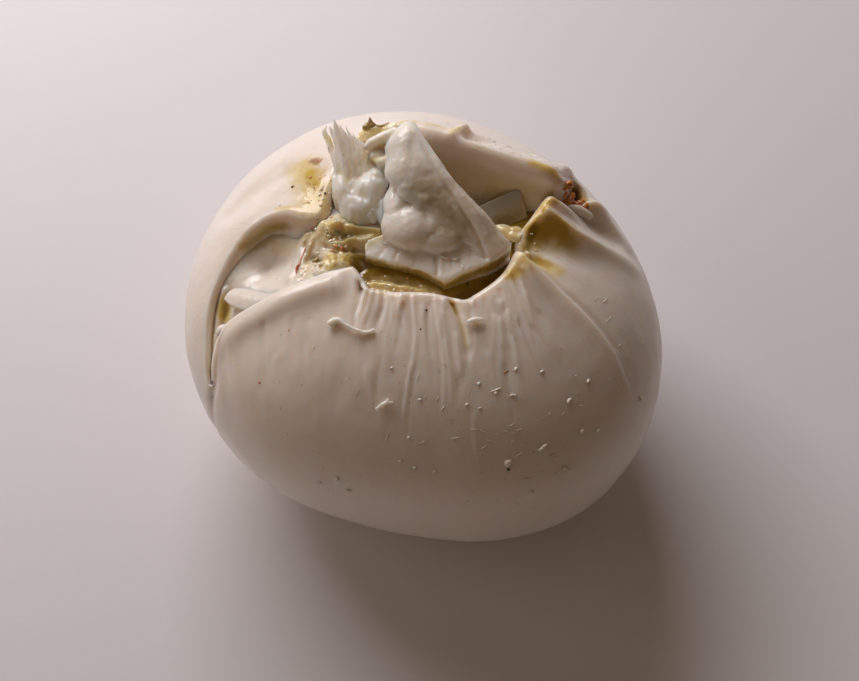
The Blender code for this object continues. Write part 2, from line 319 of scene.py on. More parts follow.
def near_line(points: Array, line: Array) -> Nearness:
    """How each point lies to a line of two or more points.

    Args:
        points: rows of x, y, z, or of x and y.
        line: rows of the same width.

    Returns:
        The distance, the side and the share of the line's length, one for each point.
    """
    line = np.asarray(line, dtype=float)
    if len(line) == 1:
        gap = np.linalg.norm(points - line[0], axis=1)
        return Nearness(gap, gap, np.zeros(len(points)))
    lengths = np.linalg.norm(np.diff(line, axis=0), axis=1)
    start = np.concatenate([[0.0], np.cumsum(lengths)])
    best = np.full(len(points), 1e9)
    side = np.zeros(len(points))
    share = np.zeros(len(points))
    for k, (a, b) in enumerate(zip(line, line[1:])):
        run = b - a
        away = points - a
        t = np.clip(away @ run / (run @ run), 0.0, 1.0)
        gap = np.linalg.norm(away - t[:, None] * run, axis=1)
        turn = run[0] * away[:, 1] - run[1] * away[:, 0]
        closer = gap < best
        best = np.where(closer, gap, best)
        side = np.where(closer, np.sign(turn) * gap, side)
        share = np.where(closer, (start[k] + t * lengths[k]) / start[-1], share)
    return Nearness(best, side, share)


def outward_of(outline: Array, steps: int) -> Array:
    """The way out of an outline that runs to the left, in plan, at each of its points.

    Args:
        outline: rows that start with x and y, one after another round the outline.
        steps: how many points away its direction is measured.

    Returns:
        Rows of x and y, each of length 1.
    """
    ahead = np.roll(outline, -steps, axis=0) - np.roll(outline, steps, axis=0)
    outward = np.stack([ahead[:, 1], -ahead[:, 0]], axis=1)
    return outward / np.linalg.norm(outward, axis=1)[:, None]


def inside_outline(points: Array, outline: Array) -> Array:
    """Whether each point lies inside a closed outline, both in plan.

    Args:
        points: rows of x and y.
        outline: rows of x and y.

    Returns:
        True or False for each point.
    """
    x, y = points[:, 0], points[:, 1]
    within = np.zeros(len(points), dtype=bool)
    for (ax, ay), (bx, by) in zip(outline, np.roll(outline, -1, axis=0)):
        crosses = (ay > y) != (by > y)
        rise = by - ay if by != ay else 1e-9
        within ^= crosses & (x < ax + (y - ay) * (bx - ax) / rise)
    return within


class Surface:
    """A smooth height over the plan that passes through a few chosen places."""

    def __init__(self, places: tuple[Place, ...], slack: float = 0.02) -> None:
        """Fit a thin plate to the places.

        Args:
            places: x, y, z of each place in millimetres.
            slack: how much it may miss them, 0 for not at all.
        """
        self.knots = np.array(places, dtype=float)
        count = len(self.knots)
        gaps = np.linalg.norm(self.knots[:, None, :2] - self.knots[None, :, :2], axis=2)
        frame = np.zeros((count + 3, count + 3))
        frame[:count, :count] = self.bend(gaps) + slack * count * np.eye(count)
        frame[:count, count] = 1.0
        frame[:count, count + 1:] = self.knots[:, :2]
        frame[count:, :count] = frame[:count, count:].T
        self.weights = np.linalg.solve(frame, np.concatenate([self.knots[:, 2], np.zeros(3)]))

    @staticmethod
    def bend(gaps: Array) -> Array:
        """The thin plate's own curve of distance."""
        held = np.maximum(gaps, 1e-6)
        return held**2 * np.log(held)

    def height(self, x: Array, y: Array) -> Array:
        """The height over each x and y."""
        gaps = np.hypot(x[:, None] - self.knots[None, :, 0], y[:, None] - self.knots[None, :, 1])
        count = len(self.knots)
        flat = self.weights[count] + self.weights[count + 1] * x + self.weights[count + 2] * y
        return self.bend(gaps) @ self.weights[:count] + flat


# ---------------------------------------------------------------------------------------------
# Relief and stains: lines and spots that shape and colour a surface
# ---------------------------------------------------------------------------------------------


PLEAT_GROOVE = 0.8  # how deep a pleat's groove is against its ridge
PLEAT_REACH = 4.0  # how far from its line a pleat's groove still counts, in widths
STEP_EDGE = 0.35  # how far a step takes to rise, in widths
STEP_FALL = 3.0  # how far a step takes to fall back behind its edge, in widths


class Relief(Enum):
    """What a line does to the surface that it runs over."""

    RIDGE = "a rounded ridge"
    GROOVE = "a rounded groove"
    PLEAT = "a ridge with a groove along its right"
    STEP = "a step, high on the left and falling away to the right"


@dataclass(frozen=True)
class ReliefLine:
    """One line of relief on a surface, in millimetres."""

    kind: Relief
    height: float
    width: float
    points: Points
    start: float = 1.0
    end: float = 1.0

    def amount(self, points: Array) -> Array:
        """How far the line lifts the surface at each point.

        Args:
            points: rows of x, y, z.

        Returns:
            Millimetres for each point.
        """
        line = rounded_line(self.points, 4)
        near = near_line(points[:, :line.shape[1]], line)
        reach = near.distance / self.width
        bell = np.exp(-reach**2)
        if self.kind is Relief.RIDGE:
            shape = bell
        elif self.kind is Relief.GROOVE:
            shape = -bell
        elif self.kind is Relief.PLEAT:
            offset = (near.side + self.width) / self.width
            shape = bell - PLEAT_GROOVE * np.exp(-offset**2) * (reach < PLEAT_REACH)
        else:
            high = ease(near.side / (STEP_EDGE * self.width) + 0.5)
            shape = high * np.exp(-(np.maximum(near.side, 0.0) / (STEP_FALL * self.width)) ** 2)
        fade = self.start + (self.end - self.start) * near.share
        return self.height * shape * fade


def ridge(height: float, width: float, *points: tuple[float, ...],
          fade: Spot = (1.0, 1.0)) -> ReliefLine:
    """A rounded ridge through the points, with the share of its height at its start and its end."""
    return ReliefLine(Relief.RIDGE, height, width, points, *fade)


def groove(height: float, width: float, *points: tuple[float, ...],
           fade: Spot = (1.0, 1.0)) -> ReliefLine:
    """A rounded groove through the points, with the share of its depth at its start and its end."""
    return ReliefLine(Relief.GROOVE, height, width, points, *fade)


class Layer(Enum):
    """The colours that are laid over plain curd."""

    BUTTER = "butter"  # yellow cream and oil, and in places painted warm shade
    OLIVE = "olive"  # dark green-brown oil in folds, and in places painted shade
    WET = "wet"  # glossy moisture
    BLUSH = "blush"  # pinkish brown spice that has bled
    AMBER = "amber"  # deep yellow oil seen through cream, and in the deep hollow painted shade


@dataclass(frozen=True)
class Stain:
    """A soft-edged patch or streak of one layer, in millimetres."""

    layer: Layer
    strength: float
    width: float
    points: Points


def stain_of(layer: Layer) -> Callable[..., Stain]:
    """A maker of one layer's stains.

    Args:
        layer: the layer that all its stains belong to.

    Returns:
        A function of a stain's strength, its width and its points.
    """

    def stain(strength: float, width: float, *points: tuple[float, ...]) -> Stain:
        """One patch or streak of the layer."""
        return Stain(layer, strength, width, points)

    return stain


butter, olive, wet, blush, amber = (stain_of(layer) for layer in Layer)


def stain_amounts(points: Array, stains: tuple[Stain, ...], seed: float = 0.0) -> dict[Layer, Array]:
    """How strongly each layer lies on each point, with edges that wander.

    Args:
        points: rows of x, y, z in millimetres.
        stains: the patches and streaks.
        seed: moves the wandering.

    Returns:
        One array from 0 to 1 for each layer.
    """
    wander = 0.5 * grain(points, 2.6, 4, seed) + 0.25 * grain(points, 0.9, 2, seed + 3.0)
    amounts = {layer: np.zeros(len(points)) for layer in Layer}
    for stain in stains:
        line = np.array(stain.points)
        near = near_line(points[:, :line.shape[1]], line)
        value = stain.strength * ease(1.15 - near.distance / stain.width + wander * 0.6)
        amounts[stain.layer] = np.maximum(amounts[stain.layer], value)
    return amounts


def paint_stains(piece: Piece, stains: tuple[Stain, ...], seed: float = 0.0) -> None:
    """Paint every layer of the stains on the piece."""
    for layer, values in stain_amounts(points_of(piece), stains, seed).items():
        paint(piece, layer.value, values)


# ---------------------------------------------------------------------------------------------
# Simple starts: balls, rolls, sheets and patches
# ---------------------------------------------------------------------------------------------


@dataclass(frozen=True)
class Lump:
    """A soft lump: its middle, its half sizes and its turn about Z in degrees."""

    middle: Place
    half: Place
    turn: float = 0.0

    def make(self, segments: int = 24, rings: int = 14) -> Piece:
        """Add the lump as a ball of its half sizes.

        Args:
            segments: faces round it.
            rings: faces from pole to pole.

        Returns:
            The lump.
        """
        deselect()
        bpy.ops.mesh.primitive_uv_sphere_add(
            segments=segments,
            ring_count=rings,
            radius=MM,
            location=[v * MM for v in self.middle],
            rotation=(0.0, 0.0, math.radians(self.turn)),
        )
        bpy.context.object.scale = self.half
        return settle_transform(bpy.context.object)


@dataclass(frozen=True)
class Roll:
    """A round roll along points, with its radii spread evenly over its length."""

    points: tuple[Place, ...]
    radii: tuple[float, ...]

    def make(self, steps: int = 5, sides: int = 3) -> Piece:
        """Add the roll as a bevelled curve and make it a closed mesh.

        Args:
            steps: pieces in each stretch of its line.
            sides: how fine its round is.

        Returns:
            The roll.
        """
        line = smooth_line(np.array(self.points), steps)
        share = np.linspace(0.0, 1.0, len(line))
        radii = np.interp(share, np.linspace(0.0, 1.0, len(self.radii)), self.radii)
        deselect()
        bpy.ops.curve.primitive_nurbs_path_add()
        path = bpy.context.object
        path.data.splines.clear()
        spline = path.data.splines.new("POLY")
        spline.points.add(len(line) - 1)
        for point, place, radius in zip(spline.points, line, radii):
            point.co = (*(place * MM), 1.0)
            point.radius = radius
        path.data.bevel_depth = MM
        path.data.bevel_resolution = sides
        path.data.use_fill_caps = True
        bpy.ops.object.convert(target="MESH")
        return bpy.context.object


@dataclass(frozen=True)
class Sheet:
    """A curved sheet through rows of points, with its thickness given row by row."""

    rows: tuple[tuple[Place, ...], ...]
    thickness: tuple[tuple[float, ...], ...]

    def make(self, along: int = 8, across: int = 6) -> Piece:
        """Add the sheet as a grid, bend it through its rows and give it its thickness.

        Args:
            along: pieces from row to row.
            across: pieces from point to point.

        Returns:
            The sheet, as one closed body.
        """
        grid = smooth_grid(self.rows, along, across)
        thick = smooth_grid(np.array(self.thickness)[:, :, None], along, across)[:, :, 0]
        count, width = grid.shape[:2]
        deselect()
        bpy.ops.mesh.primitive_grid_add(x_subdivisions=width - 1, y_subdivisions=count - 1, size=1.0)
        sheet = bpy.context.object
        flat = points_of(sheet) * MM
        column = np.rint((flat[:, 0] + 0.5) * (width - 1)).astype(int)
        row = np.rint((flat[:, 1] + 0.5) * (count - 1)).astype(int)
        move_points(sheet, grid[row, column])
        thickest = float(thick.max())
        group = sheet.vertex_groups.new(name="thickness")
        for index, value in enumerate(thick[row, column]):
            group.add([index], float(value) / thickest, "REPLACE")
        apply_modifier(sheet, "SOLIDIFY", thickness=thickest * MM, offset=0.0, vertex_group="thickness")
        turn_outward(sheet)
        return sheet


def make_patch(name: str, outline: Array, cell: float) -> Piece:
    """A flat sheet of small square faces that fills an outline.

    Args:
        name: the new object's name.
        outline: the closed outline in plan, in millimetres.
        cell: size of its faces in millimetres.

    Returns:
        The sheet, at height 0.
    """
    low, high = outline.min(axis=0), outline.max(axis=0)
    size = high - low
    middle = (low + high) / 2
    deselect()
    bpy.ops.mesh.primitive_grid_add(
        x_subdivisions=int(size[0] / cell),
        y_subdivisions=int(size[1] / cell),
        size=1.0,
        location=(middle[0] * MM, middle[1] * MM, 0.0),
    )
    bpy.context.object.scale = (size[0] * MM, size[1] * MM, 1.0)
    patch = settle_transform(bpy.context.object)
    patch.name = name
    flat = points_of(patch)
    bpy.ops.object.mode_set(mode="EDIT")
    bpy.ops.mesh.select_all(action="DESELECT")
    bpy.ops.object.mode_set(mode="OBJECT")
    patch.data.vertices.foreach_set("select", ~inside_outline(flat[:, :2], outline))
    bpy.ops.object.mode_set(mode="EDIT")
    bpy.ops.mesh.delete(type="VERT")
    bpy.ops.object.mode_set(mode="OBJECT")
    return patch


def raised_points(patch: Piece, places: tuple[Place, ...], relief: tuple[ReliefLine, ...],
                  slack: float = 0.02) -> Array:
    """A flat patch's points, lifted to a surface through the places and shaped by the relief.

    Args:
        patch: the flat sheet.
        places: what the surface passes through.
        relief: the lines that run over it.
        slack: how much the surface may miss the places.

    Returns:
        Rows of x, y, z in millimetres.
    """
    points = points_of(patch)
    points[:, 2] = Surface(places, slack).height(points[:, 0], points[:, 1])
    for line in relief:
        points[:, 2] += line.amount(points[:, :2])
    return points


def thicken(patch: Piece, thickness: float) -> None:
    """Give a patch an underside, so that it is one closed body with its face up."""
    apply_modifier(patch, "SOLIDIFY", thickness=thickness * MM, offset=-1.0)
    turn_outward(patch)


def stand(patch: Piece, floor: float) -> None:
    """Carry a patch's rim straight down to a flat floor, so that it is one closed body.

    Args:
        patch: the sheet to stand up.
        floor: the height of its flat underside in millimetres.
    """
    pick(patch)
    bpy.ops.object.mode_set(mode="EDIT")
    bpy.ops.mesh.select_all(action="SELECT")
    bpy.ops.mesh.extrude_region_move()
    bpy.ops.object.mode_set(mode="OBJECT")
    lower = np.zeros(len(patch.data.vertices), dtype=bool)
    patch.data.vertices.foreach_get("select", lower)
    points = points_of(patch)
    points[lower, 2] = floor
    move_points(patch, points)
    turn_outward(patch)


@dataclass(frozen=True)
class Mound:
    """A body with a drawn outline, a flat floor and a top that passes through chosen places."""

    outline: tuple[Spot, ...]
    places: tuple[Place, ...]
    floor: float
    relief: tuple[ReliefLine, ...] = ()

    def make(self, cell: float = 0.22) -> Piece:
        """Add the mound as a grid cut to its outline, raise it and stand it on its floor.

        Args:
            cell: size of its faces in millimetres.

        Returns:
            The mound, as one closed body.
        """
        mound = make_patch("mound", np.array(self.outline), cell)
        move_points(mound, raised_points(mound, self.places, self.relief, 0.002))
        stand(mound, self.floor)
        return mound


@dataclass(frozen=True)
class Blade:
    """A thin tapering blade of pulled curd: its spine from foot to tip, and its widths."""

    spine: tuple[Place, ...]
    widths: tuple[float, ...]
    thickness: float = 0.8
    curl: float = 0.22  # how far its edges lie behind its spine, as a share of its width

    def make(self) -> Piece:
        """Make the blade as a curved sheet that thins towards its edges and its tip.

        Returns:
            The blade, as one closed body.
        """
        rows = []
        thickness = []
        for number, ((x, y, z), width) in enumerate(zip(self.spine, self.widths)):
            half = width / 2.0
            back = self.curl * width
            rows.append(((x - half, y + back, z - back), (x, y, z), (x + half, y + back, z - back)))
            thick = self.thickness * (1.0 - 0.5 * number / (len(self.spine) - 1))
            thickness.append((0.5 * thick, thick, 0.5 * thick))
        return Sheet(tuple(rows), tuple(thickness)).make(6, 4)


# ---------------------------------------------------------------------------------------------
# Finishes
# ---------------------------------------------------------------------------------------------


class Tree:
    """A material's nodes, added one by one and linked as they are made."""

    def __init__(self, name: str) -> None:
        """Start a material that holds only its main shader."""
        self.material = bpy.data.materials.new(name)
        self.material.use_nodes = True
        self.nodes = self.material.node_tree.nodes
        self.links = self.material.node_tree.links
        self.shader = self.nodes["Principled BSDF"]

    def add(self, kind: str, **settings: object) -> bpy.types.Node:
        """Add a node and set its properties.

        Args:
            kind: Blender's name for the node's type.
            settings: values for the node's properties.

        Returns:
            The node.
        """
        node = self.nodes.new(kind)
        for name, value in settings.items():
            setattr(node, name, value)
        return node

    def feed(self, target: Socket, value: object) -> None:
        """Link a socket's value to another node, or set it."""
        if isinstance(value, Socket):
            self.links.new(value, target)
        else:
            target.default_value = value

    def layer(self, name: str) -> Socket:
        """A painted layer's value."""
        return self.add("ShaderNodeAttribute", attribute_name=name).outputs["Fac"]

    def flow(self) -> Socket:
        """The place in the curd's own grain."""
        return self.add("ShaderNodeAttribute", attribute_name="flow").outputs["Vector"]

    def place(self) -> Socket:
        """The place on the object."""
        return self.add("ShaderNodeTexCoord").outputs["Object"]

    def noise(self, place: Socket, scale: float, detail: float = 3.0,
              rough: float = 0.5) -> Socket:
        """Noise over a place.

        Args:
            place: the coordinates that it reads.
            scale: how many bumps there are in one unit of them.
            detail: how many finer layers it has.
            rough: how strong the finer layers are.

        Returns:
            Its value, about 0.5 in the middle.
        """
        node = self.add("ShaderNodeTexNoise")
        node.inputs["Scale"].default_value = scale
        node.inputs["Detail"].default_value = detail
        node.inputs["Roughness"].default_value = rough
        self.links.new(place, node.inputs["Vector"])
        return node.outputs["Fac"]

    def spread(self, value: Socket, low: float, high: float, to_low: float = 0.0,
               to_high: float = 1.0) -> Socket:
        """Stretch a value from one range to another, held at its ends.

        Args:
            value: what is stretched.
            low: the lower end of its range.
            high: the upper end.
            to_low: what the lower end becomes.
            to_high: what the upper end becomes.

        Returns:
            The stretched value.
        """
        node = self.add("ShaderNodeMapRange")
        ends = {"From Min": low, "From Max": high, "To Min": to_low, "To Max": to_high}
        for name, number in ends.items():
            node.inputs[name].default_value = number
        self.links.new(value, node.inputs["Value"])
        return node.outputs["Result"]

    def maths(self, operation: str, first: object, second: object) -> Socket:
        """Combine two values or sockets.

        Args:
            operation: Blender's name for what is done.
            first: a number or a socket.
            second: a number or a socket.

        Returns:
            The result.
        """
        node = self.add("ShaderNodeMath", operation=operation)
        self.feed(node.inputs[0], first)
        self.feed(node.inputs[1], second)
        return node.outputs[0]

    def mix(self, share: Socket, first: object, second: object) -> Socket:
        """Mix two colours, each a socket or red, green and blue.

        Args:
            share: how much of the second colour shows.
            first: the colour at 0.
            second: the colour at 1.

        Returns:
            The mixed colour.
        """
        node = self.add("ShaderNodeMix", data_type="RGBA")
        self.links.new(share, node.inputs["Factor"])
        for socket, colour in ((node.inputs[6], first), (node.inputs[7], second)):
            self.feed(socket, colour if isinstance(colour, Socket) else (*colour, 1.0))
        return node.outputs[2]

    def bump(self, height: Socket, distance: float, under: Socket | None = None) -> Socket:
        """Turn a height into a bumped normal, over another one if given.

        Args:
            height: the height that is read.
            distance: how high 1 stands, in metres.
            under: the normal that it lies on.

        Returns:
            The bumped normal.
        """
        node = self.add("ShaderNodeBump")
        node.inputs["Strength"].default_value = 1.0
        node.inputs["Distance"].default_value = distance
        self.links.new(height, node.inputs["Height"])
        if under is not None:
            self.links.new(under, node.inputs["Normal"])
        return node.outputs["Normal"]

    def put(self, socket: str, value: object) -> None:
        """Set or link one socket of the main shader."""
        self.feed(self.shader.inputs[socket], value)

    def soften(self, weight: float, spread: Colour, depth: float) -> None:
        """Let light in below the surface.

        Args:
            weight: the share of light that goes in.
            spread: how far red, green and blue go, against the depth.
            depth: how far light goes in, in millimetres.
        """
        self.put("Subsurface Weight", weight)
        self.put("Subsurface Radius", spread)
        self.put("Subsurface Scale", depth * MM)

    def glaze(self, weight: float, roughness: float) -> None:
        """Lay a clear wet coat over the surface."""
        self.put("Coat Weight", weight)
        self.put("Coat Roughness", roughness)


@dataclass(frozen=True)
class CurdFinish:
    """Moist pulled curd: milky, soft with light below its skin, and finely fibrous."""

    name: str
    cream: Colour = (0.85, 0.757, 0.675)
    ivory: Colour = (0.885, 0.793, 0.703)
    butter: Colour = (0.75, 0.57, 0.19)
    olive: Colour = (0.27, 0.165, 0.002)
    blush: Colour = (0.40, 0.17, 0.08)
    amber: Colour = (0.56, 0.345, 0.010)
    depth: float = 2.3  # how far light goes in, in millimetres
    roughness: float = 0.34
    wet_roughness: float = 0.12
    coat: float = 0.35
    fibre: float = 0.10  # depth of its fibres in millimetres
    pores: float = 0.03

    def make(self) -> Material:
        """Build the material.

        Returns:
            A material that reads the layers butter, amber, olive, blush and wet, and the flow.
        """
        tree = Tree(self.name)
        place = tree.place()
        flow = tree.flow()
        cloud = tree.spread(tree.noise(place, 55.0, 3.0), 0.35, 0.65)
        strands = tree.noise(flow, 1.0, 4.0, 0.6)
        colour = tree.mix(cloud, self.cream, self.ivory)
        freckle = tree.spread(tree.noise(place, 700.0, 2.0), 0.62, 0.74, 0.0, 0.35)
        colour = tree.mix(freckle, colour, tuple(0.93 * v for v in self.cream))
        colour = tree.mix(tree.spread(strands, 0.35, 0.7, 0.0, 0.35), colour, self.ivory)
        for layer in (Layer.BUTTER, Layer.AMBER, Layer.BLUSH, Layer.OLIVE):
            colour = tree.mix(tree.layer(layer.value), colour, getattr(self, layer.value))
        tree.put("Base Color", colour)
        uneven = tree.spread(tree.noise(place, 260.0, 3.0), 0.3, 0.7, -0.06, 0.10)
        dry = tree.maths("ADD", uneven, self.roughness)
        shine = tree.add("ShaderNodeMix", data_type="FLOAT")
        tree.feed(shine.inputs[0], tree.layer("wet"))
        tree.feed(shine.inputs[2], dry)
        tree.feed(shine.inputs[3], self.wet_roughness)
        tree.put("Roughness", shine.outputs[0])
        patches = tree.spread(tree.noise(place, 95.0, 2.0), 0.42, 0.62, 0.1, 1.0)
        normal = tree.bump(tree.maths("MULTIPLY", strands, patches), self.fibre * MM)
        normal = tree.bump(tree.noise(place, 1400.0, 3.0, 0.6), self.pores * MM, normal)
        tree.put("Normal", normal)
        tree.soften(1.0, (1.0, 0.78, 0.60), self.depth)
        tree.glaze(self.coat, 0.12)
        tree.put("IOR", 1.4)
        return tree.material


@dataclass(frozen=True)
class OilFinish:
    """Murky yellow-green oil and whey that fills the low places."""

    name: str
    clear: Colour = (0.36, 0.225, 0.012)
    # laid where the olive layer is painted: dark oil, and in places painted shade
    dark: Colour = (0.19, 0.105, 0.001)
    cloudy: Colour = (0.76, 0.60, 0.29)
    depth: float = 2.0

    def make(self) -> Material:
        """Build the material, whose cloudiness and darkness are painted.

        Returns:
            A material that reads the layers butter and olive.
        """
        tree = Tree(self.name)
        place = tree.place()
        swirl = tree.spread(tree.noise(place, 420.0, 4.0, 0.6), 0.3, 0.7)
        colour = tree.mix(swirl, self.clear, tuple(0.8 * v for v in self.clear))
        colour = tree.mix(tree.layer("butter"), colour, self.cloudy)
        colour = tree.mix(tree.layer("olive"), colour, self.dark)
        tree.put("Base Color", colour)
        tree.put("Roughness", tree.spread(tree.noise(place, 900.0), 0.3, 0.7, 0.04, 0.10))
        tree.put("Normal", tree.bump(tree.noise(place, 900.0, 3.0), 0.10 * MM))
        tree.soften(0.6, (1.0, 0.7, 0.2), self.depth)
        tree.glaze(0.8, 0.03)
        tree.put("IOR", 1.46)
        return tree.material


@dataclass(frozen=True)
class BitFinish:
    """Small bits: crumbs of curd, spice granules and specks."""

    name: str
    colour: Colour
    second: Colour
    roughness: float = 0.3
    depth: float = 0.6
    coat: float = 0.5

    def make(self) -> Material:
        """Build the material with a blotchy colour and a fine grain.

        Returns:
            The material.
        """
        tree = Tree(self.name)
        place = tree.place()
        blotch = tree.spread(tree.noise(place, 900.0, 3.0), 0.4, 0.6)
        tree.put("Base Color", tree.mix(blotch, self.colour, self.second))
        uneven = tree.spread(tree.noise(place, 2000.0), 0.3, 0.7, self.roughness, self.roughness + 0.15)
        tree.put("Roughness", uneven)
        tree.put("Normal", tree.bump(tree.noise(place, 2600.0, 3.0), 0.06 * MM))
        tree.soften(0.5, (1.0, 0.6, 0.4), self.depth)
        tree.glaze(self.coat, 0.08)
        return tree.material


# ---------------------------------------------------------------------------------------------
# The pouch
# ---------------------------------------------------------------------------------------------


FRONT_LIP = (
    (-117, -13.0, -3.4, 54.2),
    (-113, -11.4, -6.2, 54.5),
    (-108, -10.2, -8.2, 54.8),
    (-98, -5.6, -9.2, 55.0),
    (-86, 0.6, -9.5, 55.1),
    (-79, 4.9, -10.4, 54.9),
    (-73, 8.1, -10.5, 54.8),
    (-58, 13.3, -6.6, 54.8),
    (-44, 16.6, -2.8, 54.6),
    (-36, 18.1, -0.6, 54.4),
)
RIGHT_FOLDS = (
    (-27, 18.9, 1.2, 52.2),
    (-20, 18.0, 3.4, 52.2),
    (-12, 18.8, 5.2, 53.4),
    (-5, 20.1, 6.6, 54.4),
    (2, 21.6, 8.7, 55.0),
    (8, 23.4, 10.8, 55.4),
)
SPICE_POCKET = (
    (13, 25.2, 11.4, 52.8),
    (18, 27.8, 12.4, 49.2),
    (24, 30.2, 15.6, 47.2),
    (30, 29.6, 18.6, 47.6),
    (35, 27.6, 19.4, 49.4),
    (38, 26.2, 17.8, 52.0),
)
BACK_FOLD = (
    (41, 25.0, 16.3, 55.0),
    (45, 23.4, 16.6, 56.6),
    (51, 20.2, 17.5, 57.2),
    (57, 17.0, 18.4, 57.6),
    (64, 13.4, 19.4, 58.1),
    (74, 9.4, 20.7, 58.8),
    (86, 2.8, 22.9, 59.4),
    (96, -2.4, 24.4, 58.8),
    (106, -7.0, 24.2, 57.0),
)
LEFT_OF_KNOT = (
    (116, -11.4, 22.8, 55.4),
    (127, -15.6, 19.6, 54.4),
    (136, -18.0, 14.0, 54.0),
    (143, -19.4, 8.6, 53.9),
)
LEFT_POCKET = (
    (150, -24.6, 10.2, 52.6),
    (157, -28.4, 10.1, 51.4),
    (164, -32.0, 8.2, 50.0),
    (170, -34.6, 5.7, 48.4),
    (176, -36.6, 2.7, 47.0),
    (187, -39.7, -4.2, 43.4),
    (198, -40.4, -12.6, 39.2),
    (204, -39.9, -17.6, 36.4),
)
FRONT_LEFT_LIP = (
    (209, -38.2, -17.8, 38.4),
    (213, -37.8, -14.6, 41.4),
    (217, -36.9, -11.9, 43.8),
    (221, -34.6, -10.0, 46.6),
    (229, -28.2, -8.0, 50.8),
    (234, -23.0, -6.4, 53.0),
    (239, -17.4, -4.6, 54.2),
)


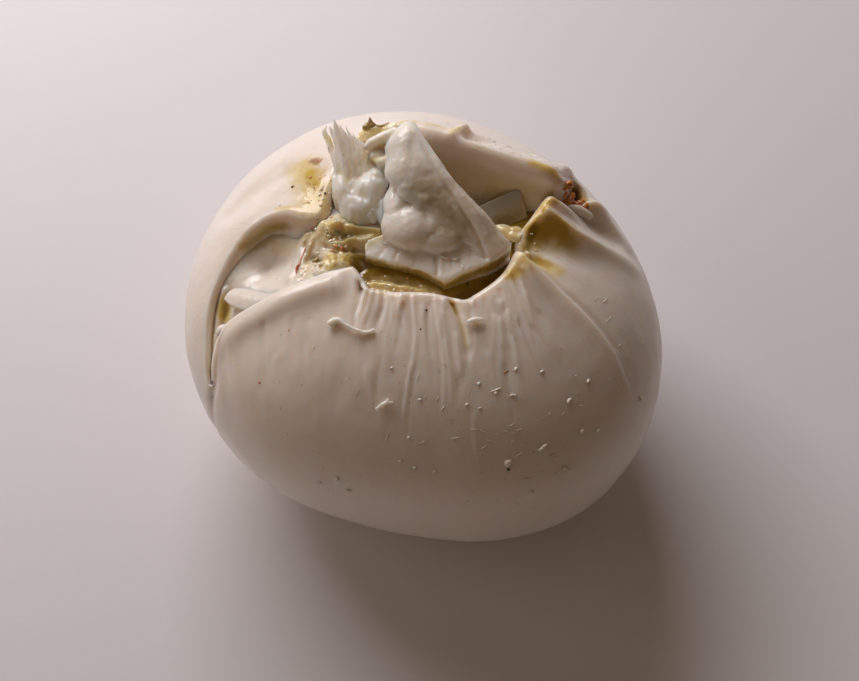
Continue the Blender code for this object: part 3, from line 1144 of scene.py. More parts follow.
@dataclass
class Pouch:
    """The plump pouch of curd, with its open mouth and the walls inside it. Sizes in mm."""

    plan_centre: Spot = (-0.4, 0.6)
    half_width: float = 41.9
    half_depth: float = 48.4
    oval_terms: tuple[tuple[int, float, float], ...] = ((2, 0.095, -0.053), (3, -0.004, -0.023))
    widest_z: float = 26.5
    rise: float = 29.0
    section_power: float = 2.2
    flat_spot_depth: float = 0.8
    edge_reach: float = 7.0
    segments: int = 704
    rings_under: int = 20
    rings_over: int = 86
    rings_inside: int = 20
    edge_steps: int = 4  # how far along the mouth's edge its direction is measured
    lip_softening: int = 3
    lip_band: int = 5  # how many rings on each side of the lip are softened
    fold_depth: float = 0.10
    front_fold_depth: float = 0.16
    front_bearings: Spot = (230, 335)
    fold_fade: float = 46.0  # how many rings down the radial folds die away
    ring_gap: float = 0.45
    wrinkle_count: int = 56
    wrinkle_seed: int = 21
    wrinkle_bearings: Spot = (228.0, 322.0)
    wrinkle_lengths: Spot = (0.10, 0.42)  # as shares of the way down to the widest ring
    wrinkle_heights: Spot = (0.08, 0.28)
    wrinkle_widths: Spot = (0.32, 0.6)
    mouth: Points = (
        FRONT_LIP + RIGHT_FOLDS + SPICE_POCKET + BACK_FOLD + LEFT_OF_KNOT + LEFT_POCKET + FRONT_LEFT_LIP
    )
    # The wall below the mouth's edge: how far in and how far down each step lies
    wall: tuple[Spot, ...] = (
        (0.55, 0.2), (1.0, 0.8), (1.3, 2.0), (1.6, 4.2), (2.1, 6.6), (3.2, 9.0), (4.6, 11.2),
    )
    wall_left: tuple[Spot, ...] = (
        (0.5, 0.08), (1.0, 0.35), (1.5, 0.9), (2.1, 1.8), (2.8, 3.0), (3.8, 4.8), (5.2, 7.4),
    )
    wall_back: tuple[Spot, ...] = (
        (0.8, 0.2), (1.8, 0.9), (2.4, 2.2), (2.6, 4.2), (3.3, 6.4), (5.0, 8.6), (7.6, 10.8),
    )
    left_bearings: Spot = (142, 182)
    back_bearings: Spot = (40, 100)
    bearing_of: Array = field(init=False)  # each vertex's bearing, once the pouch is shaped
    level_of: Array = field(init=False)  # each vertex's ring, once the pouch is shaped
    broad_lines: tuple[ReliefLine, ...] = (
        # the right fold's crest, the hollow before it and the valley behind it
        ridge(2.3, 2.0, (22.9, 8.2), (24.8, 7.2), (26.8, 6.4), (30.5, 5.6), (34.4, 4.8), (38.6, 4.4),
              fade=(0.9, 0.35)),
        groove(1.3, 3.0, (22.6, 3.4), (28.0, 1.6), (33.0, -0.6), fade=(1.0, 0.2)),
        groove(3.2, 2.2, (27.4, 13.6), (30.4, 11.6), (34.4, 9.8), (38.4, 8.6), fade=(1.0, 0.25)),
        ridge(1.9, 2.2, (27.0, 21.4), (30.4, 18.0), (34.2, 14.0), (38.4, 9.4), fade=(1.0, 0.6)),
        ridge(1.2, 2.4, (-36.0, -12.2), (-31.6, -10.6), (-25.0, -8.6), (-17.0, -6.6)),
        groove(0.9, 2.6, (-36.4, 15.4), (-31.4, 19.0), (-27.0, 21.6)),
    )
    fine_lines: tuple[ReliefLine, ...] = (
        # the fold that runs down from the right front corner
        ReliefLine(Relief.STEP, 1.1, 0.9,
                   ((35.8, -18.8), (33.9, -15.6), (31.2, -12.4), (27.5, -9.2), (24.2, -6.6),
                    (22.4, -5.1), (20.5, -3.7), (19.0, -2.4), (18.0, -1.4)), 0.2, 1.0),
        groove(0.8, 0.6, (18.9, -1.4), (20.8, -3.0), (22.9, -4.5), (24.8, -6.0), (28.0, -8.5),
               (31.6, -11.8), (34.3, -15.0), fade=(1.0, 0.2)),
        groove(0.6, 0.9, (19.6, -0.4), (21.8, -1.1), (24.0, -2.4), fade=(1.0, 0.0)),
        # the crest of the right fold
        ridge(0.4, 0.6, (22.4, 8.4), (24.8, 7.0), (26.8, 6.1), (30.5, 5.5), (34.4, 4.8),
              fade=(1.0, 0.2)),
        # the fold's end over the spice pocket
        ridge(0.45, 0.5, (16.5, 16.5, 56.4), (18.6, 16.0, 55.9), (21.0, 15.9, 55.6), (23.9, 15.6, 54.8),
              fade=(0.2, 1.0)),
        ridge(0.35, 0.4, (24.8, 15.6, 56.0), (24.0, 14.8, 54.0), (22.9, 14.0, 51.8), fade=(1.0, 0.6)),
        # the small fold behind the lip
        ridge(0.95, 1.0, (5.2, 22.6), (6.2, 23.9), (7.4, 24.8), fade=(0.6, 1.0)),
        ridge(0.8, 1.1, (7.2, 24.8), (9.8, 24.6), (13.6, 24.2), fade=(1.0, 0.1)),
        groove(0.9, 1.3, (8.4, 22.9), (11.8, 22.2), fade=(1.0, 0.5)),
        # pleats that fan out from the front lip
        groove(1.5, 0.55, (-11.4, -6.4), (-11.7, -10.8), (-12.6, -13.8), fade=(1.0, 0.2)),
        ridge(0.55, 0.5, (-10.3, -8.1), (-11.1, -11.0), (-13.1, -14.2), fade=(1.0, 0.3)),
        ridge(0.35, 0.4, (-9.2, -8.7), (-9.7, -11.1), (-11.2, -14.8), fade=(1.0, 0.3)),
        groove(0.8, 0.6, (-7.1, -8.8), (-7.3, -11.6), (-8.6, -15.2), fade=(1.0, 0.2)),
        ridge(0.5, 0.9, (-4.2, -9.9), (-4.4, -11.3), (-4.6, -12.6), fade=(1.0, 0.4)),
        ReliefLine(Relief.PLEAT, 0.32, 0.42,
                   ((-2.0, -9.7), (-1.9, -11.9), (-1.6, -16.9), (-2.1, -21.2), (-3.0, -26.0),
                    (-3.5, -28.7)), 0.8, 0.3),
        ReliefLine(Relief.PLEAT, 0.32, 0.42,
                   ((1.9, -10.3), (2.2, -13.2), (2.9, -17.7), (3.4, -22.2), (3.4, -26.2), (3.1, -28.9)),
                   0.8, 0.3),
        groove(1.3, 0.55, (4.9, -10.4), (5.5, -11.8), (6.4, -14.4), (7.3, -17.5), (7.5, -19.9),
               fade=(1.0, 0.25)),
        ridge(0.3, 0.4, (5.6, -16.8), (6.0, -19.9), (6.5, -24.5), fade=(0.9, 0.4)),
        ridge(0.22, 0.4, (3.8, -17.7), (4.5, -21.7), (4.8, -27.3), fade=(0.9, 0.4)),
        groove(0.3, 1.3, (-10.8, -18.3), (-14.0, -21.9), (-15.6, -26.4), fade=(0.1, 0.3)),
        ridge(0.3, 1.3, (-7.2, -18.2), (-9.8, -23.5), (-13.3, -27.1), fade=(0.1, 0.3)),
        ReliefLine(Relief.PLEAT, 0.2, 0.45,
                   ((8.6, -29.8, 48.5), (8.9, -34.2, 45.3), (10.2, -37.0, 42.4)), 0.7, 0.2),
        # the left pocket's ledge
        groove(0.5, 0.8, (-39.0, -18.4), (-39.6, -20.6)),
    )

    def plan_scale(self, bearing: Array) -> Array:
        """How much wider than an ellipse the plan is at bearings in radians."""
        scale = 1.0
        for order, cosine, sine in self.oval_terms:
            scale = scale + cosine * np.cos(order * bearing) + sine * np.sin(order * bearing)
        return scale

    def widest_ring(self, bearing: Array) -> tuple[Array, Array]:
        """X and Y of the widest ring at bearings in radians.

        Args:
            bearing: bearings in radians.

        Returns:
            Two rows of millimetres.
        """
        scale = self.plan_scale(bearing)
        x = self.plan_centre[0] + self.half_width * scale * np.cos(bearing)
        y = self.plan_centre[1] + self.half_depth * scale * np.sin(bearing)
        return x, y

    def dome_height(self, x: Array, y: Array) -> Array:
        """Height of the upper skin over the plan, without its folds.

        Args:
            x: places in plan.
            y: places in plan.

        Returns:
            One height for each place.
        """
        across = (x - self.plan_centre[0]) / self.half_width
        along = (y - self.plan_centre[1]) / self.half_depth
        reach = np.hypot(across, along) / self.plan_scale(np.arctan2(along, across))
        reach = np.clip(reach, 0.0, 1.0)
        power = self.section_power
        return self.widest_z + self.rise * (1.0 - reach**power) ** (1.0 / power)

    def skin_height(self, x: Array, y: Array) -> Array:
        """Height of the upper skin with its broad folds."""
        plan = np.stack([x, y], axis=1)
        height = self.dome_height(x, y)
        for line in self.broad_lines:
            height = height + line.amount(plan)
        return height

    def edge(self, degrees: Array) -> Array:
        """The mouth's edge at each bearing, as rows of x, y, z.

        Args:
            degrees: bearings in degrees.

        Returns:
            Rows in millimetres.
        """
        table = np.array(self.mouth)
        line = np.vstack([table, table[:1] + (360.0, 0.0, 0.0, 0.0)])
        line = smooth_line(line, 6)
        columns = [np.interp(degrees, line[:, 0] % 360.0, line[:, k], period=360) for k in (1, 2, 3)]
        return np.stack(columns, axis=1)

    @staticmethod
    def between(degrees: Array, limits: Spot, blend: float = 10.0) -> Array:
        """1 inside the limits and 0 outside, with a soft change over the blend."""
        low, high = limits
        return ease((degrees - low) / blend + 0.5) * ease((high - degrees) / blend + 0.5)

    def wall_rings(self, edge: Array, degrees: Array) -> Array:
        """Rings of the wall inside the mouth, from its edge down, as rings x points x 3.

        Args:
            edge: the mouth's edge.
            degrees: the bearing of each of its points.

        Returns:
            The rings, from the top down.
        """
        inward = -outward_of(edge, self.edge_steps)
        left = self.between(degrees, self.left_bearings)
        back = self.between(degrees, self.back_bearings)
        shares = (1.0 - left - back, left, back)
        profiles = []
        for steps in (self.wall, self.wall_left, self.wall_back):
            fine = smooth_line(np.array(((0.0, 0.0), *steps)), 8)
            run = np.linspace(0.0, len(fine) - 1.0, self.rings_inside + 1)[1:]
            columns = [np.interp(run, np.arange(len(fine)), fine[:, k]) for k in (0, 1)]
            profiles.append(np.stack(columns, axis=1))
        rings = []
        for level in range(self.rings_inside):
            step = sum(share[:, None] * profile[level] for share, profile in zip(shares, profiles))
            ring = edge.copy()
            ring[:, :2] += inward * step[:, :1]
            ring[:, 2] -= step[:, 1]
            rings.append(ring)
        return np.array(rings)

    def over_rings(self, bearings: Array, edge: Array) -> Array:
        """Rings of the outer skin from the widest ring up to the mouth's edge.

        Args:
            bearings: bearings in radians.
            edge: the mouth's edge at each.

        Returns:
            The rings, from the bottom up.
        """
        outer_x, outer_y = self.widest_ring(bearings)
        lift = edge[:, 2] - self.skin_height(edge[:, 0], edge[:, 1])
        rings = []
        for step in np.linspace(0.0, 1.0, self.rings_over):
            share = 1.0 - math.cos(math.pi / 2 * (1.0 - (1.0 - step) ** 1.5))
            x = outer_x + (edge[:, 0] - outer_x) * share
            y = outer_y + (edge[:, 1] - outer_y) * share
            from_edge = np.hypot(x - edge[:, 0], y - edge[:, 1])
            z = self.skin_height(x, y) + lift * np.exp(-((from_edge / self.edge_reach) ** 2))
            rings.append(np.stack([x, y, z], axis=1))
        return np.array(rings)

    def under_rings(self, bearings: Array) -> Array:
        """Rings of the underside from the flat spot up to just below the widest ring.

        Args:
            bearings: bearings in radians.

        Returns:
            The rings, from the bottom up.
        """
        x, y = self.widest_ring(bearings)
        depth = self.widest_z + self.flat_spot_depth
        rings = []
        for angle in np.linspace(0.04, math.pi / 2, self.rings_under, endpoint=False):
            reach = math.sin(angle) ** (2.0 / self.section_power)
            drop = math.cos(angle) ** (2.0 / self.section_power)
            z = np.full(len(bearings), max(self.widest_z - depth * drop, 0.0))
            ring_x = self.plan_centre[0] + (x - self.plan_centre[0]) * reach
            ring_y = self.plan_centre[1] + (y - self.plan_centre[1]) * reach
            rings.append(np.stack([ring_x, ring_y, z], axis=1))
        return np.array(rings)

    def shape(self) -> Piece:
        """Add a ball and shape it into the pouch.

        Returns:
            The pouch in the design frame, without its fine relief.
        """
        count = self.rings_under + self.rings_over + self.rings_inside
        bearings = np.arange(self.segments) * 2.0 * math.pi / self.segments
        degrees = np.degrees(bearings)
        edge = self.edge(degrees)
        rings = np.concatenate([
            self.under_rings(bearings),
            self.over_rings(bearings, edge),
            self.wall_rings(edge, degrees),
        ])
        lip = self.rings_under + self.rings_over
        band = self.lip_band
        for _ in range(self.lip_softening):
            softer = (rings[:-2] + 2.0 * rings[1:-1] + rings[2:]) / 4.0
            rings[lip - band:lip + band] = softer[lip - band - 1:lip + band - 1]
        deselect()
        bpy.ops.mesh.primitive_uv_sphere_add(segments=self.segments, ring_count=count + 1, radius=1.0)
        pouch = bpy.context.object
        pouch.name = "pouch"
        ball = points_of(pouch) * MM
        upward = 1.0 - np.arccos(np.clip(ball[:, 2], -1.0, 1.0)) / math.pi
        level = np.rint(upward * (count + 1)).astype(int)
        round_share = np.arctan2(ball[:, 1], ball[:, 0]) / (2.0 * math.pi)
        column = np.rint(round_share * self.segments).astype(int)
        rows = np.clip(level - 1, 0, count - 1)
        places = rings[rows, column % self.segments]
        places[level == 0] = rings[0].mean(axis=0)
        places[level == count + 1] = rings[-1].mean(axis=0)
        move_points(pouch, places)
        self.bearing_of = column / self.segments * 2.0 * math.pi
        self.level_of = rows
        return pouch

    def fibres(self) -> Array:
        """Fine radial folds that fan out from the mouth and die away down the skin.

        Returns:
            How far each vertex is lifted, in millimetres.
        """
        bearing = self.bearing_of
        below_lip = self.rings_under + self.rings_over - self.level_of
        down = np.maximum(below_lip, 0)
        round_the_mouth = np.stack([np.cos(bearing), np.sin(bearing), down * 0.004], axis=1)
        folds = grain(round_the_mouth, 0.085, 2, 1.0) * 0.6 + grain(round_the_mouth, 0.03, 2, 2.0) * 0.4
        front = self.between(np.degrees(bearing), self.front_bearings, 30.0)
        fade = np.exp(-((down / self.fold_fade) ** 2)) * ease((below_lip + 3) / 6.0)
        return folds * fade * (self.fold_depth + self.front_fold_depth * front)

    def wrinkles(self) -> list[ReliefLine]:
        """Fine wrinkles by chance that run down the front skin, away from the mouth.

        Returns:
            The wrinkles, as relief lines in plan.
        """
        chance = np.random.default_rng(self.wrinkle_seed)
        made = []
        for _ in range(self.wrinkle_count):
            bearing = chance.uniform(*self.wrinkle_bearings)
            turn = chance.normal(0.0, 2.5)
            begin = chance.uniform(0.0, 0.55) ** 1.4
            length = chance.uniform(*self.wrinkle_lengths)
            points = []
            for step in np.linspace(0.0, 1.0, 4):
                angle = np.array([bearing + turn * step])
                near_x, near_y, _ = self.edge(angle % 360.0)[0]
                far_x, far_y = self.widest_ring(np.radians(angle))
                share = begin + length * step
                x = near_x + (far_x[0] - near_x) * share
                y = near_y + (far_y[0] - near_y) * share
                points.append((float(x), float(y)))
            height = float(chance.choice((-1.0, 1.0)) * chance.uniform(*self.wrinkle_heights))
            kind = Relief.RIDGE if chance.random() < 0.7 else Relief.PLEAT
            width = float(chance.uniform(*self.wrinkle_widths) + 0.3 * begin)
            made.append(ReliefLine(kind, height, width, tuple(points), 0.9, 0.15))
        return made

    def build(self, finish: CurdFinish, stains: tuple[Stain, ...]) -> Piece:
        """Make the whole pouch and dress it.

        Args:
            finish: the curd's finish.
            stains: what has run over it.

        Returns:
            The finished pouch.
        """
        pouch = self.shape()
        points = points_of(pouch)
        amount = self.fibres()
        over = ease((points[:, 2] - 18.0) / 8.0)
        for line in (*self.fine_lines, *self.wrinkles()):
            amount = amount + over * line.amount(points)
        upper = ease((points[:, 2] - 4.0) / 12.0)
        dents = 0.16 * grain(points, 14.0, 2, 5.0) + 0.05 * grain(points, 3.2, 2, 6.0)
        amount = amount + upper * dents
        swell(pouch, amount)
        points = points_of(pouch)
        points[:, 2] = np.maximum(points[:, 2], 0.0)
        move_points(pouch, points)
        paint_stains(pouch, stains)
        down = (self.rings_under + self.rings_over - self.level_of) * self.ring_gap
        round_the_pouch = [np.cos(self.bearing_of) * 46.0, np.sin(self.bearing_of) * 46.0]
        paint_flow(pouch, np.stack([*round_the_pouch, down * 0.06], axis=1))
        return finish_piece(pouch, finish.make())


# ---------------------------------------------------------------------------------------------
# The filling inside the mouth, and the oil on it
# ---------------------------------------------------------------------------------------------


@dataclass
class Filling:
    """The creamy filling that shows as a lumpy floor inside the mouth. Sizes in mm."""

    cell: float = 0.26
    thickness: float = 2.4
    spread: float = 1.6  # how far it reaches into the wall
    places: tuple[Place, ...] = (
        # the trench under the left skin, and the bowl
        (-39.4, -5.6, 41.6), (-39.5, -10.0, 39.4), (-39.5, -14.0, 37.2), (-39.2, -17.6, 35.2),
        (-38.0, -5.0, 41.4), (-38.4, -9.0, 39.4), (-38.4, -13.0, 37.6), (-36.6, -5.6, 41.4),
        (-37.0, -9.6, 39.6), (-37.2, -13.0, 38.6), (-37.4, 0.6, 45.0), (-34.6, 3.6, 46.3),
        (-30.6, 6.4, 47.6), (-26.0, 7.2, 48.6), (-21.8, 7.0, 50.0), (-34.8, -7.6, 44.2),
        (-31.5, -8.0, 46.8), (-25.4, -6.0, 50.2), (-34.0, -1.6, 45.6), (-29.0, 1.4, 45.8),
        (-24.8, 1.6, 47.8), (-22.8, 1.0, 49.6),
        # the yellow cream between the pocket, the wisp and the knot
        (-22.0, -3.8, 51.8), (-19.6, -4.6, 52.8), (-20.6, 2.4, 50.8), (-19.7, -0.1, 51.4),
        (-18.8, 3.6, 52.2), (-17.6, 4.8, 53.6), (-16.1, 5.4, 54.8), (-14.2, 4.9, 54.2),
        (-12.0, 4.6, 54.0),
        (-9.8, 4.4, 54.2), (-8.0, 3.9, 54.4), (-14.3, 2.4, 53.2), (-12.3, 2.1, 53.3), (-10.1, 2.1, 53.5),
        (-12.8, 0.3, 53.0), (-15.1, -1.5, 53.5), (-16.9, -2.4, 53.7), (-18.7, -2.6, 53.1),
        (-17.0, 1.2, 52.7), (-18.2, -0.1, 52.3), (-19.6, 6.6, 52.4), (-14.2, -2.8, 53.2),
        # the floor of the moat and of the hollow
        (-12.0, -3.4, 51.0), (-9.6, -2.8, 50.0), (-6.0, -4.0, 49.6), (-11.0, -5.6, 49.6),
        (-7.6, -6.6, 49.6), (-3.0, -7.4, 49.8), (2.0, -8.4, 49.2),
        (6.6, -8.8, 48.6), (11.0, -5.6, 48.2), (15.6, -1.2, 48.0), (18.0, 2.0, 48.4), (18.6, 6.0, 49.0),
        (20.6, 11.0, 47.4), (15.0, 12.6, 46.4), (9.0, 15.0, 46.6), (4.0, 19.0, 47.6), (25.6, 13.8, 45.4),
        (27.0, 17.0, 44.6), (22.6, 16.6, 46.0), (-17.0, 10.0, 51.6), (-15.0, 17.0, 52.4),
        (-8.0, 20.0, 53.0),
        (0.0, 0.0, 50.0),
    )
    relief: tuple[ReliefLine, ...] = (
        ridge(1.3, 0.6, (-36.8, -2.2), (-37.7, -5.0), (-38.2, -8.0), (-38.5, -11.0), (-38.6, -14.0),
              (-38.6, -18.0)),
        # strings of cream beside the bowl
        ridge(0.5, 0.7, (-21.0, 7.2), (-22.6, 3.8), (-22.9, 0.4), (-24.6, -3.2)),
        ridge(0.35, 0.4, (-20.4, 5.4), (-20.8, 3.6), (-22.0, 0.6), (-22.2, -3.0)),
        ridge(0.5, 0.7, (-18.6, 6.6), (-19.4, 4.6), (-20.6, 3.2)),
        groove(0.35, 0.5, (-19.9, 4.0), (-21.2, 0.2)),
        # the ridges and hollows of the yellow cream
        ridge(0.9, 0.8, (-16.6, 5.8), (-15.0, 5.6), (-13.6, 5.0)),
        ridge(0.7, 0.45, (-13.8, 4.7), (-12.0, 4.9), (-10.0, 4.7), (-8.2, 4.3)),
        groove(0.6, 0.6, (-16.8, 3.6), (-15.2, 3.4), (-13.6, 3.8)),
        ridge(0.6, 0.7, (-15.6, 2.2), (-13.4, 3.0), (-11.4, 2.6), (-9.6, 3.0)),
        groove(0.5, 0.5, (-14.2, 1.0), (-12.0, 1.2), (-10.0, 1.2)),
        ridge(0.6, 0.5, (-17.9, 0.6), (-16.6, -0.6), (-16.2, -2.2)),
        ridge(0.5, 0.45, (-14.6, -0.2), (-13.6, -0.9), (-13.4, -2.0)),
        groove(0.9, 0.7, (-20.2, 0.9), (-18.9, -0.2)),
        groove(0.5, 0.4, (-17.6, 2.4), (-16.0, 0.8), (-15.2, -0.8)),
        groove(0.7, 2.2, (-28.0, 1.2), (-26.6, 2.4)),
    )

    def build(self, pouch: Pouch, finish: CurdFinish, stains: tuple[Stain, ...]) -> Piece:
        """Make the filling and dress it.

        Args:
            pouch: the pouch whose mouth it fills.
            finish: its finish.
            stains: oil and spice that lie on it.

        Returns:
            The finished filling.
        """
        edge = pouch.edge(np.arange(0.0, 360.0, 1.0))[:, :2]
        outline = edge + outward_of(edge, 1) * self.spread
        filling = make_patch("filling", outline, self.cell)
        points = raised_points(filling, self.places, self.relief)
        left = ease((-9.0 - points[:, 0]) / 4.0)
        outside = points[:, 0] < -36.0
        under_skin = pouch.skin_height(points[:, 0], points[:, 1]) - 0.5
        points[outside, 2] = np.minimum(points[outside, 2], under_skin[outside])
        cream = left * ease((points[:, 0] + 24.0) / 4.0)
        points[:, 2] += left * 0.16 * grain(points, 2.6, 3, 8.0)
        points[:, 2] += cream * (0.42 * grain(points, 2.2, 3, 8.5) + 0.20 * grain(points, 0.8, 2, 9.0))
        move_points(filling, points)
        thicken(filling, self.thickness)
        points = points_of(filling)
        paint_stains(filling, stains, 4.0)
        paint_flow(filling, points * (0.9, 0.25, 0.9))
        return finish_piece(filling, finish.make())


@dataclass
class Oil:
    """Oil and whey standing in the moat round the knot and in the hollows. Sizes in mm."""

    cell: float = 0.3
    thickness: float = 2.0
    outline: tuple[Spot, ...] = (
        (-12.4, -5.4), (-10.0, -9.0), (-4.0, -10.4), (4.0, -11.2), (8.6, -11.6), (14.0, -7.6),
        (18.6, -2.4),
        (20.6, 1.0), (21.0, 6.4), (24.0, 10.0), (22.0, 15.0), (10.0, 18.0), (2.0, 14.0), (0.0, 2.0),
        (-8.0, 2.0), (-11.6, -1.0),
    )
    places: tuple[Place, ...] = (
        (-11.6, -3.4, 51.2), (-11.0, -5.6, 51.4), (-8.0, -7.0, 51.7), (-3.0, -7.8, 51.7),
        (2.0, -8.8, 51.2),
        (7.0, -9.0, 50.2), (-6.0, -4.6, 51.8), (0.0, -5.8, 51.6),
        (12.0, -5.4, 49.8), (16.6, -0.8, 49.6), (18.4, 2.6, 49.6), (19.0, 7.0, 49.4), (15.0, 12.0, 48.0),
        (20.6, 11.6, 48.6), (8.0, 15.0, 48.0), (0.0, 0.0, 50.4),
    )
    relief: tuple[ReliefLine, ...] = (
        ridge(0.55, 0.7, (-8.8, -5.2), (-4.4, -6.0), (0.4, -7.0)),
        ridge(0.45, 0.45, (-9.6, -6.8), (-6.2, -7.6), (-2.0, -8.2), (2.0, -9.0)),
        groove(0.5, 0.5, (-9.8, -4.0), (-5.4, -4.6), (-1.0, -5.6)),
    )

    def build(self, finish: OilFinish, stains: tuple[Stain, ...]) -> Piece:
        """Make the oil and dress it with its finish and its cloudy and dark parts.

        Args:
            finish: the oil's finish.
            stains: its cloudy and dark parts.

        Returns:
            The finished oil.
        """
        oil = make_patch("oil", np.array(self.outline), self.cell)
        points = raised_points(oil, self.places, self.relief)
        foam = ease((3.0 - points[:, 0]) / 4.0)
        points[:, 2] += (0.08 + 0.16 * foam) * grain(points, 1.6, 3, 11.0)
        move_points(oil, points)
        thicken(oil, self.thickness)
        paint_stains(oil, stains, 7.0)
        return finish_piece(oil, finish.make())


# ---------------------------------------------------------------------------------------------
# The knot and the torn wisp
# ---------------------------------------------------------------------------------------------


KNOT_FLAP = Sheet(
    rows=(
        ((-4.5, 21.6, 61.2), (-3.8, 22.0, 61.9), (-3.2, 22.3, 62.3),
         (-2.6, 22.5, 62.4), (-2.1, 22.4, 62.2), (-1.8, 22.2, 61.6)),
        ((-6.1, 20.2, 60.6), (-5.0, 20.5, 61.9), (-3.7, 20.9, 62.8),
         (-2.3, 21.1, 62.9), (-1.7, 21.0, 62.7), (-1.3, 20.7, 61.9)),
        ((-6.9, 18.4, 60.4), (-5.5, 18.4, 62.1), (-3.4, 18.8, 63.3),
         (-1.5, 19.2, 63.1), (-0.9, 19.1, 62.9), (-0.4, 18.8, 62.0)),
        ((-6.7, 15.8, 60.2), (-5.1, 15.6, 61.8), (-2.6, 15.9, 62.9),
         (0.1, 16.2, 62.6), (0.7, 16.3, 62.6), (1.3, 16.2, 61.8)),
        ((-7.0, 13.4, 59.8), (-5.2, 13.0, 61.3), (-2.4, 13.2, 62.4),
         (1.4, 13.8, 62.1), (2.1, 14.0, 62.3), (2.9, 13.9, 61.4)),
        ((-6.5, 11.8, 59.6), (-4.6, 11.4, 60.9), (-1.6, 11.6, 61.9),
         (2.3, 12.1, 61.6), (3.0, 12.4, 61.9), (3.9, 12.4, 61.0)),
        ((-5.1, 10.0, 59.6), (-3.2, 9.9, 60.6), (-0.4, 10.1, 61.3),
         (3.4, 10.4, 60.9), (4.2, 10.8, 61.3), (5.2, 10.9, 60.4)),
        ((-4.3, 8.2, 59.3), (-2.0, 8.4, 59.9), (0.8, 8.7, 60.4),
         (4.5, 8.8, 60.1), (5.4, 9.2, 60.6), (6.6, 9.5, 59.7)),
        ((-2.3, 7.2, 59.1), (0.0, 7.2, 59.4), (2.4, 7.3, 59.6),
         (5.9, 6.8, 59.2), (6.9, 7.4, 59.9), (8.3, 7.9, 59.1)),
        ((-0.5, 5.4, 58.5), (1.8, 5.6, 58.7), (4.2, 5.7, 58.7),
         (7.3, 4.8, 58.2), (8.4, 5.5, 59.0), (10.1, 6.3, 58.4)),
        ((2.0, 3.7, 57.8), (4.0, 3.9, 57.8), (6.0, 4.1, 57.7),
         (8.4, 3.2, 57.2), (9.7, 4.0, 58.0), (11.7, 4.9, 57.6)),
        ((5.0, 2.2, 56.8), (6.6, 2.4, 56.8), (8.0, 2.5, 56.6),
         (9.4, 1.9, 56.3), (11.0, 2.5, 57.0), (13.1, 3.5, 56.6)),
        ((7.6, 1.0, 55.6), (8.4, 1.0, 55.6), (9.2, 1.0, 55.5),
         (10.1, 0.7, 55.3), (12.2, 1.1, 55.9), (14.6, 2.0, 55.8)),
        ((9.6, -0.4, 54.5), (10.0, -0.6, 54.6), (10.5, -0.8, 54.6),
         (11.2, -1.0, 54.5), (13.4, -0.4, 55.0), (15.8, 1.0, 55.1)),
    ),
    thickness=(
        (0.5, 0.8, 1.0, 1.0, 0.8, 0.5),
        (0.7, 1.2, 1.6, 1.6, 1.4, 1.0),
        *((0.8, 1.4, 1.8, 1.8, 1.6, 1.2),) * 5,
        (0.7, 1.3, 1.6, 1.6, 1.6, 1.2),
        (0.6, 1.1, 1.5, 1.5, 1.6, 1.2),
        (0.5, 1.0, 1.3, 1.4, 1.6, 1.2),
        (0.5, 0.9, 1.2, 1.3, 1.6, 1.2),
        (0.5, 0.8, 1.0, 1.2, 1.6, 1.2),
        (0.6, 0.8, 1.0, 1.2, 1.5, 1.1),
        (0.8, 0.8, 1.0, 1.0, 1.2, 0.9),
    ),
)
